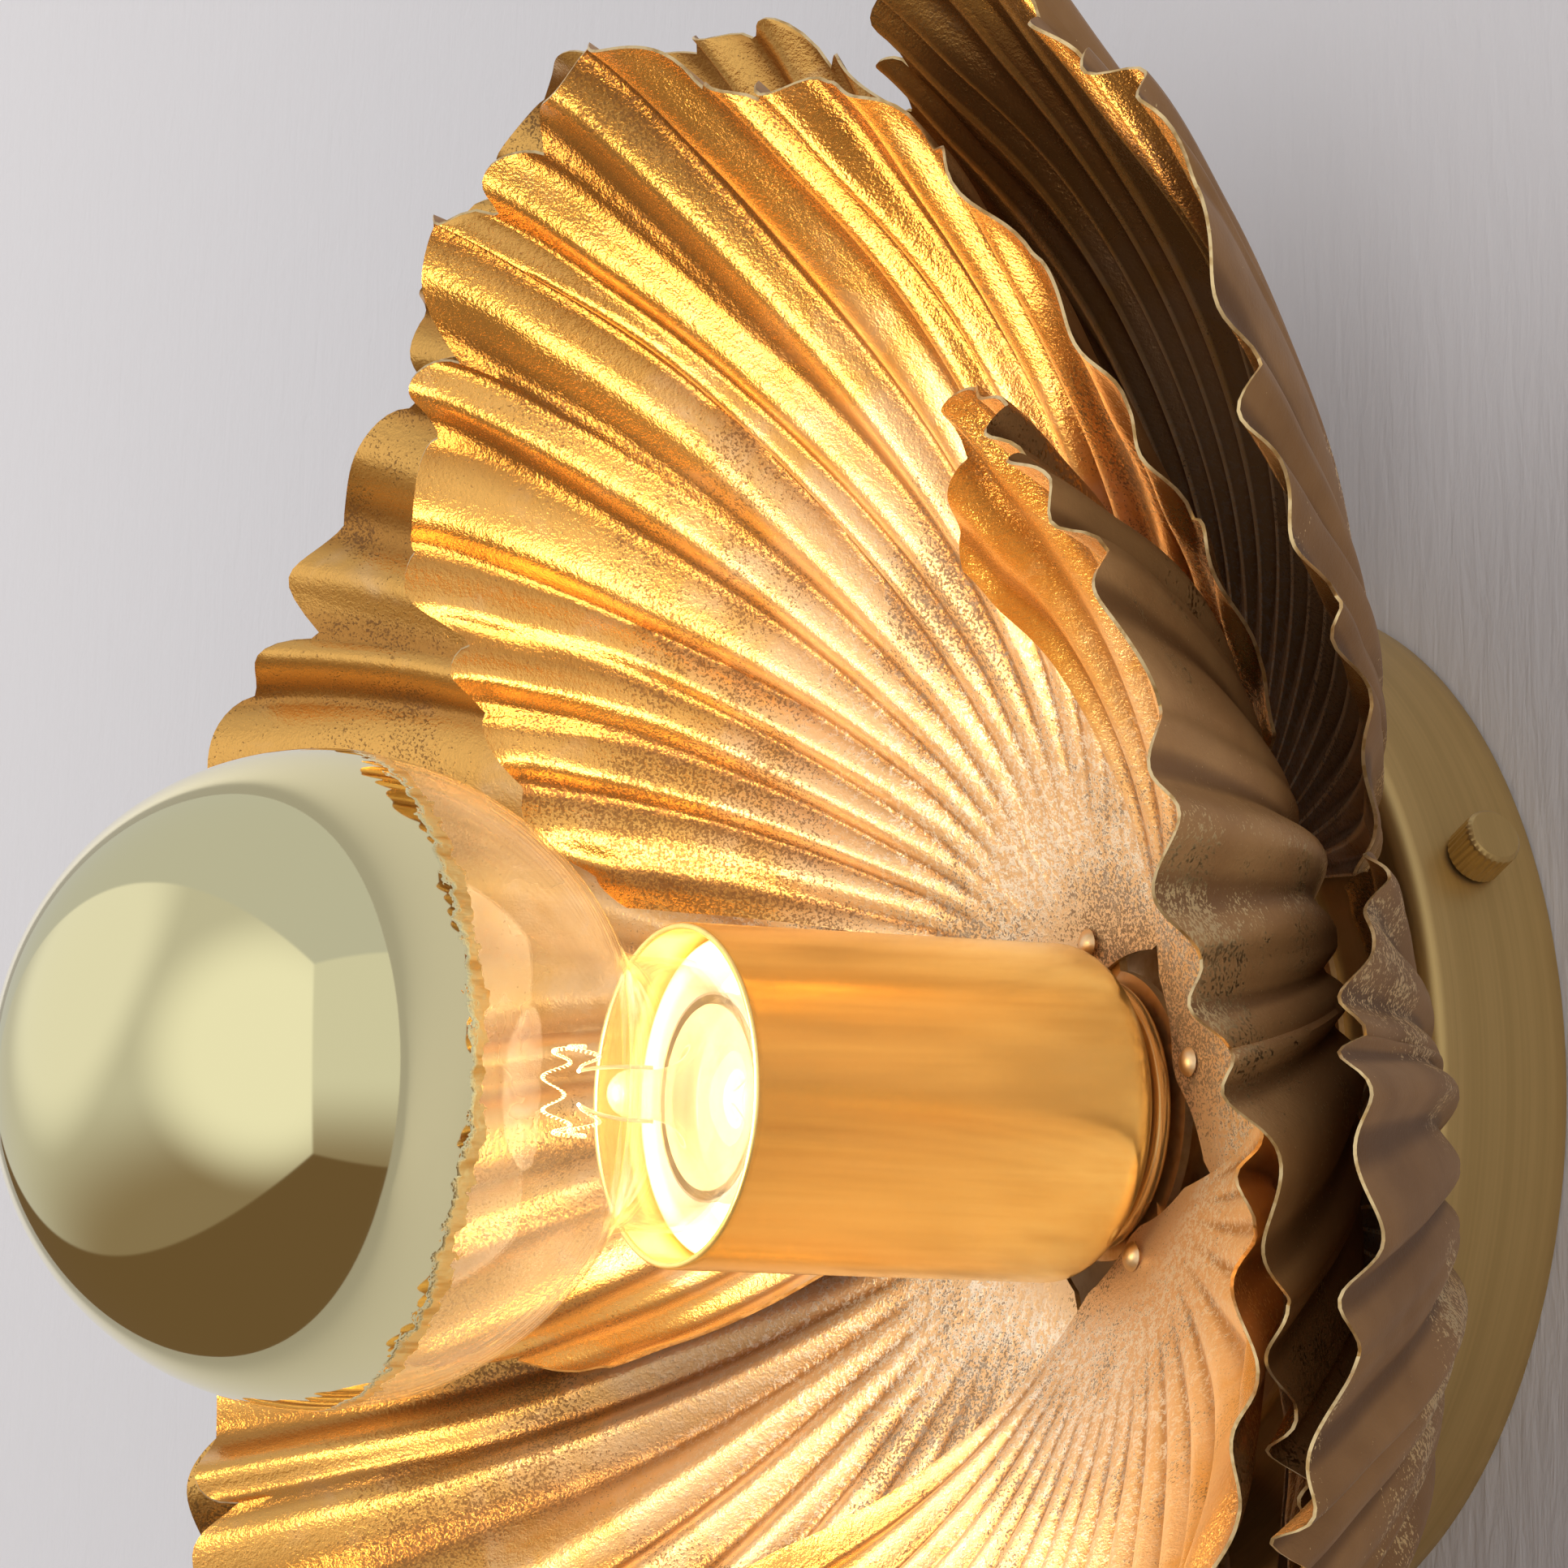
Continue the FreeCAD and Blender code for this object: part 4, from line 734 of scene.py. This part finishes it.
def makeGlobe():
    # A glass skin of even wall that narrows to a throat, and a thin mirror cap over its front.
    b = bulb
    throat, wall, flare = b["throat"], b["wall"], b["flare"]
    lift = flare + (b["neck"] - throat)
    outerSkin = globeProfile(b["glass"], b["neck"], b["blend"], lift)
    innerSkin = globeProfile(b["glass"] - wall, b["neck"] - wall, b["blend"] + wall, lift)
    profile = np.concatenate([
        [(throat - wall, flare - b["tuck"]), (throat, flare - b["tuck"]), (throat, flare - 0.5),
         (throat + 0.7, flare + 0.7)],
        outerSkin, innerSkin[::-1], [(throat - wall, flare)]])
    turned("globe_glass", profile, "bulb", ["bulb_glass"], clearGlass, sharp=60.0)
    low = math.degrees(math.asin((b["mirrorBack"] - b["centre"]) / b["radius"]))
    cap = np.concatenate([arc((0, b["centre"]), b["radius"], low, 90, 96),
                          arc((0, b["centre"]), b["radius"] - b["mirrorWall"], 90, low, 96)])
    turned("globe_mirror", cap, "bulb", ["bulb_mirror_cap"], mirror, steps=224, sharp=60.0)


def makeStem():
    # A foot in the throat that sweeps in to a slim post with a round tip.
    s = stem
    profile = np.concatenate([
        [(0.0, s["back"]), (s["radius"] - 0.3, s["back"]), (s["radius"], s["back"] + 0.5),
         (s["radius"], s["front"])],
        arc((s["radius"], s["front"] + s["sweep"]), s["sweep"], -90, -180, 14)[1:],
        [(s["post"] + 0.05, s["tip"])], arc((0.0, s["tip"]), s["post"], 0, 90, 10)])
    turned("stem_glass", profile, "bulb", ["bulb_stem"], stemGlass, steps=72, loop=False,
           sharp=60.0)


def makeLampBase():
    # The threaded sleeve, the black cone that closes it, and the contact on the cone's tip.
    b = lampBase
    threadedSleeve("base_thread", b["radius"], b["back"], b["front"], "bulb",
                   "bulb_screw_base", metalBase)
    cone = [(0.0, b["insulatorBack"]), (5.6, b["insulatorBack"]), (6.2, b["insulatorBack"] + 0.25),
            (b["insulatorRadius"] - 0.3, b["back"] - 0.3), (b["insulatorRadius"], b["back"]),
            (0.0, b["back"])]
    turned("base_insulator", cone, "bulb", ["bulb_insulator"], insulator, steps=96,
           loop=False)
    tip = np.concatenate([
        [(0.0, b["tipBack"])], arc((2.2, b["tipBack"] + 2.2), 2.2, -90, -35, 6),
        [(4.7, b["insulatorBack"] - 0.4), (4.8, b["insulatorBack"]), (0.0, b["insulatorBack"])]])
    turned("contact_button", tip, "bulb_carrier", ["bulb_contact_tip"], metalBase,
           steps=64, loop=False)


filament = dict(radius=5.5, forward=102.0, wave=1.6, turns=14, gap=25.0, coil=0.26, coils=120, perCoil=12,
                wire=0.05, sides=6)


def makeFilament():
    # A fine coil wound round an open ring that waves up and down.
    f = filament
    t = np.linspace(0, 1, f["coils"] * f["perCoil"])
    gap = math.radians(f["gap"])
    angle = gap + (2 * np.pi - 2 * gap) * t
    spin = 2 * np.pi * f["coils"] * t
    reach = f["radius"] + f["coil"] * np.cos(spin)
    height = f["forward"] + f["wave"] * np.cos(np.pi * f["turns"] * t) + f["coil"] * np.sin(spin)
    path = np.stack([reach * np.cos(angle), -height, reach * np.sin(angle)], axis=-1) * mm
    points, faces = tubeAlong(path, f["wire"] * mm, f["sides"])
    makePiece("filament_coil", points, faces, "bulb", ["bulb_filament"], [hotWire],
              sharp=80.0)


makeGlobe()
makeStem()
makeLampBase()
makeFilament()
print("bulb made")


# CAD nodes that keep their shape, with their finishes.
finishes = {
    "wall_bracket": steel, "centre_tube": steel, "canopy_washer": steel, "canopy_nut": steel,
    "cup_washer": steel, "cup_nut": steel, "lampholder_strap": steel, "earth_screw": steel,
    "outer_leaf_plate": footBrass, "inner_leaf_spider": footBrass, "leaf_spacer": footBrass,
    "inner_leaf_rivets": footBrass, "outer_leaf_rivets": footBrass,
    "lampholder_contact": brass, "lampholder_terminals": brass, "terminal_block_screws": brass,
    "terminal_block": blockPlastic, "live_lead": blackSleeve, "neutral_lead": whiteSleeve,
    "bulb_filament_wires": metalBase,
}
for name, material in finishes.items():
    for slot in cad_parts[name].material_slots:
        slot.material = material
print("finishes set:", len(finishes))


wall = dict(colour=(0.635, 0.625, 0.652), half=8.0, gap=0.0004, strokes=(330.0, 1.0, 70.0))


def makeWall():
    # Plaster just behind the drum, brushed up and down. It is clear from behind.
    half, gap = wall["half"], wall["gap"]
    corners = np.array([(-half, gap, -half), (half, gap, -half), (half, gap, half), (-half, gap, half)])
    mesh = bpy.data.meshes.new("wall")
    mesh.from_pydata(corners, [], [(0, 1, 2, 3)])
    plaster = bpy.data.objects.new("wall", mesh)
    bpy.context.scene.collection.objects.link(plaster)
    paint = Paint("wall_plaster")
    strokes = paint.noise(paint.stretched(*wall["strokes"]), 1.0, 4.0, 0.6, 0.4)
    shader = paint.node("BsdfPrincipled", None, {
        "Base Color": (*wall["colour"], 1.0), "Roughness": 0.75,
        "Normal": paint.bump(strokes, 0.22, 0.0016)})
    clear = paint.node("BsdfTransparent")
    behind = paint.node("NewGeometry", out="Backfacing")
    both = paint.node("MixShader", None, {0: behind, 1: shader, 2: clear})
    paint.node("OutputMaterial", None, {"Surface": both})
    mesh.materials.append(paint.material)
    plaster.visible_shadow = False  # the back light passes it


# Area lights: watts, metres. shine lets metal show the lamp itself; without it, metal shows only the room.
lights = {
    "key": dict(power=8.7, size=0.9, place=(-1.05, -0.85, 0.5), aim=(0, -0.08, 0), colour=(1.0, 0.98, 0.96)),
    "fill": dict(power=2.3, size=1.4, place=(2.4, -0.95, 0.1), aim=(0, -0.05, 0), colour=(0.98, 0.97, 0.96),
                 spread=1.2),
    "bounce": dict(power=2.6, size=1.2, place=(1.9, -0.8, -1.1), aim=(0, -0.05, 0), colour=(1.0, 0.93, 0.84),
                   spread=1.2),
    # from behind the wall into the open back of the drum, narrow enough to stay inside it
    "back_light": dict(power=0.014, size=0.07, place=(0, 0.04, 0), aim=(0, 0, 0), colour=(1.0, 0.98, 0.95),
                       spread=1.0, shape="DISK", shine=True),
    # the bulb's mirror throws its light back over the leaves
    "mirror_light": dict(power=0.155, size=0.072, place=(0, -0.131, 0), aim=(0, 0, 0),
                         colour=(1.0, 0.76, 0.47), shape="DISK", shine=True),
}
lampGlow = dict(power=0.14, colour=(1.0, 0.76, 0.47), radius=0.012, place=(0, -0.112, 0))


def makeLights():
    for name, wanted in lights.items():
        light = bpy.data.lights.new(name, "AREA")
        light.energy, light.size, light.color = wanted["power"], wanted["size"], wanted["colour"]
        light.shape = wanted.get("shape", "SQUARE")
        if "spread" in wanted:
            light.spread = wanted["spread"]
        lamp = bpy.data.objects.new(name, light)
        aim = (Vector(wanted["aim"]) - Vector(wanted["place"])).to_track_quat("-Z", "Y")
        lamp.matrix_world = Matrix.Translation(wanted["place"]) @ aim.to_matrix().to_4x4()
        lamp.visible_camera = False
        lamp.visible_glossy = wanted.get("shine", False)
        bpy.context.scene.collection.objects.link(lamp)
    light = bpy.data.lights.new("lamp_glow", "POINT")
    light.energy, light.color = lampGlow["power"], lampGlow["colour"]
    light.shadow_soft_size = lampGlow["radius"]
    glow = bpy.data.objects.new("lamp_glow", light)
    glow.location = lampGlow["place"]
    bpy.context.scene.collection.objects.link(glow)


room = dict(floor=(0.15, 0.095, 0.05), low=(0.26, 0.20, 0.14), middle=(0.55, 0.545, 0.54),
            returnWall=(0.66, 0.66, 0.65), above=(0.52, 0.53, 0.56),
            window=(-0.60, -0.70, 0.39), pane=(0.80, 0.80, 0.81),
            doorway=(0.70, -0.70, 0.10), daylight=(0.88, 0.88, 0.86),
            ahead=1.0, right=1.8, up=1.45, down=1.2, corner=0.012)


def makeWorld():
    # A pale box of a room: a direction meets the plane that it reaches first, where its share along the
    # plane's normal over the plane's distance is greatest. The wall ahead is bright at a soft window and a
    # soft doorway, and the walls darken towards a brown floor.
    paint = Paint("studio", bpy.data.worlds)
    heading = paint.node("TexCoord", out="Generated")
    right, inward, height = (paint.part(heading, letter) for letter in "XYZ")
    shade = paint.step(height, -0.6, -0.05)
    colour = paint.mix(shade, room["low"], room["middle"])
    colour = paint.mix(paint.step(paint.dot(heading, room["window"]), 0.78, 0.93), colour, room["pane"])
    colour = paint.mix(paint.step(paint.dot(heading, room["doorway"]), 0.62, 0.92), colour, room["daylight"])
    nearest = (0.0 - inward) / room["ahead"]
    planes = [(right / room["right"], paint.mix(shade, room["low"], room["returnWall"])),
              (height / room["up"], room["above"]), ((0.0 - height) / room["down"], room["floor"])]
    for plane, tone in planes:
        colour = paint.mix(paint.step(plane - nearest, -room["corner"], room["corner"]), colour, tone)
        nearest = paint.greater(nearest, plane)
    sky = paint.node("Background", None, {"Color": colour, "Strength": 1.0})
    paint.node("OutputWorld", None, {"Surface": sky})
    bpy.context.scene.world = paint.material


# Degrees and mm; across and up shift the eye without turning it. focal is in pixels of the square frame.
camera = dict(azimuth=60.985, elevation=-6.909, distance=1050.652, target=(0.0, -57.31, 0.0),
              across=-13.242, up=40.285, focal=10334.0, frameSize=1932.0, sensor=36.0)


def makeCamera():
    azimuth, elevation = math.radians(camera["azimuth"]), math.radians(camera["elevation"])
    back = Vector((math.sin(azimuth) * math.cos(elevation), -math.cos(azimuth) * math.cos(elevation),
                   math.sin(elevation)))
    right = Vector((math.cos(azimuth), math.sin(azimuth), 0.0))
    up = back.cross(right)
    eye = Vector(camera["target"]) + back * camera["distance"] + right * camera["across"] + up * camera["up"]
    lens = bpy.data.cameras.new("camera")
    lens.sensor_width = camera["sensor"]
    lens.lens = camera["focal"] / camera["frameSize"] * camera["sensor"]
    lens.clip_start, lens.clip_end = 0.01, 20.0
    viewer = bpy.data.objects.new("camera", lens)
    viewer.matrix_world = Matrix.Translation(eye * mm) @ Matrix((right, up, back)).transposed().to_4x4()
    bpy.context.scene.collection.objects.link(viewer)
    bpy.context.scene.camera = viewer


makeWall()
makeLights()
makeWorld()
makeCamera()
bpy.context.scene.view_settings.view_transform = "Standard"
print("wall, light and camera set")
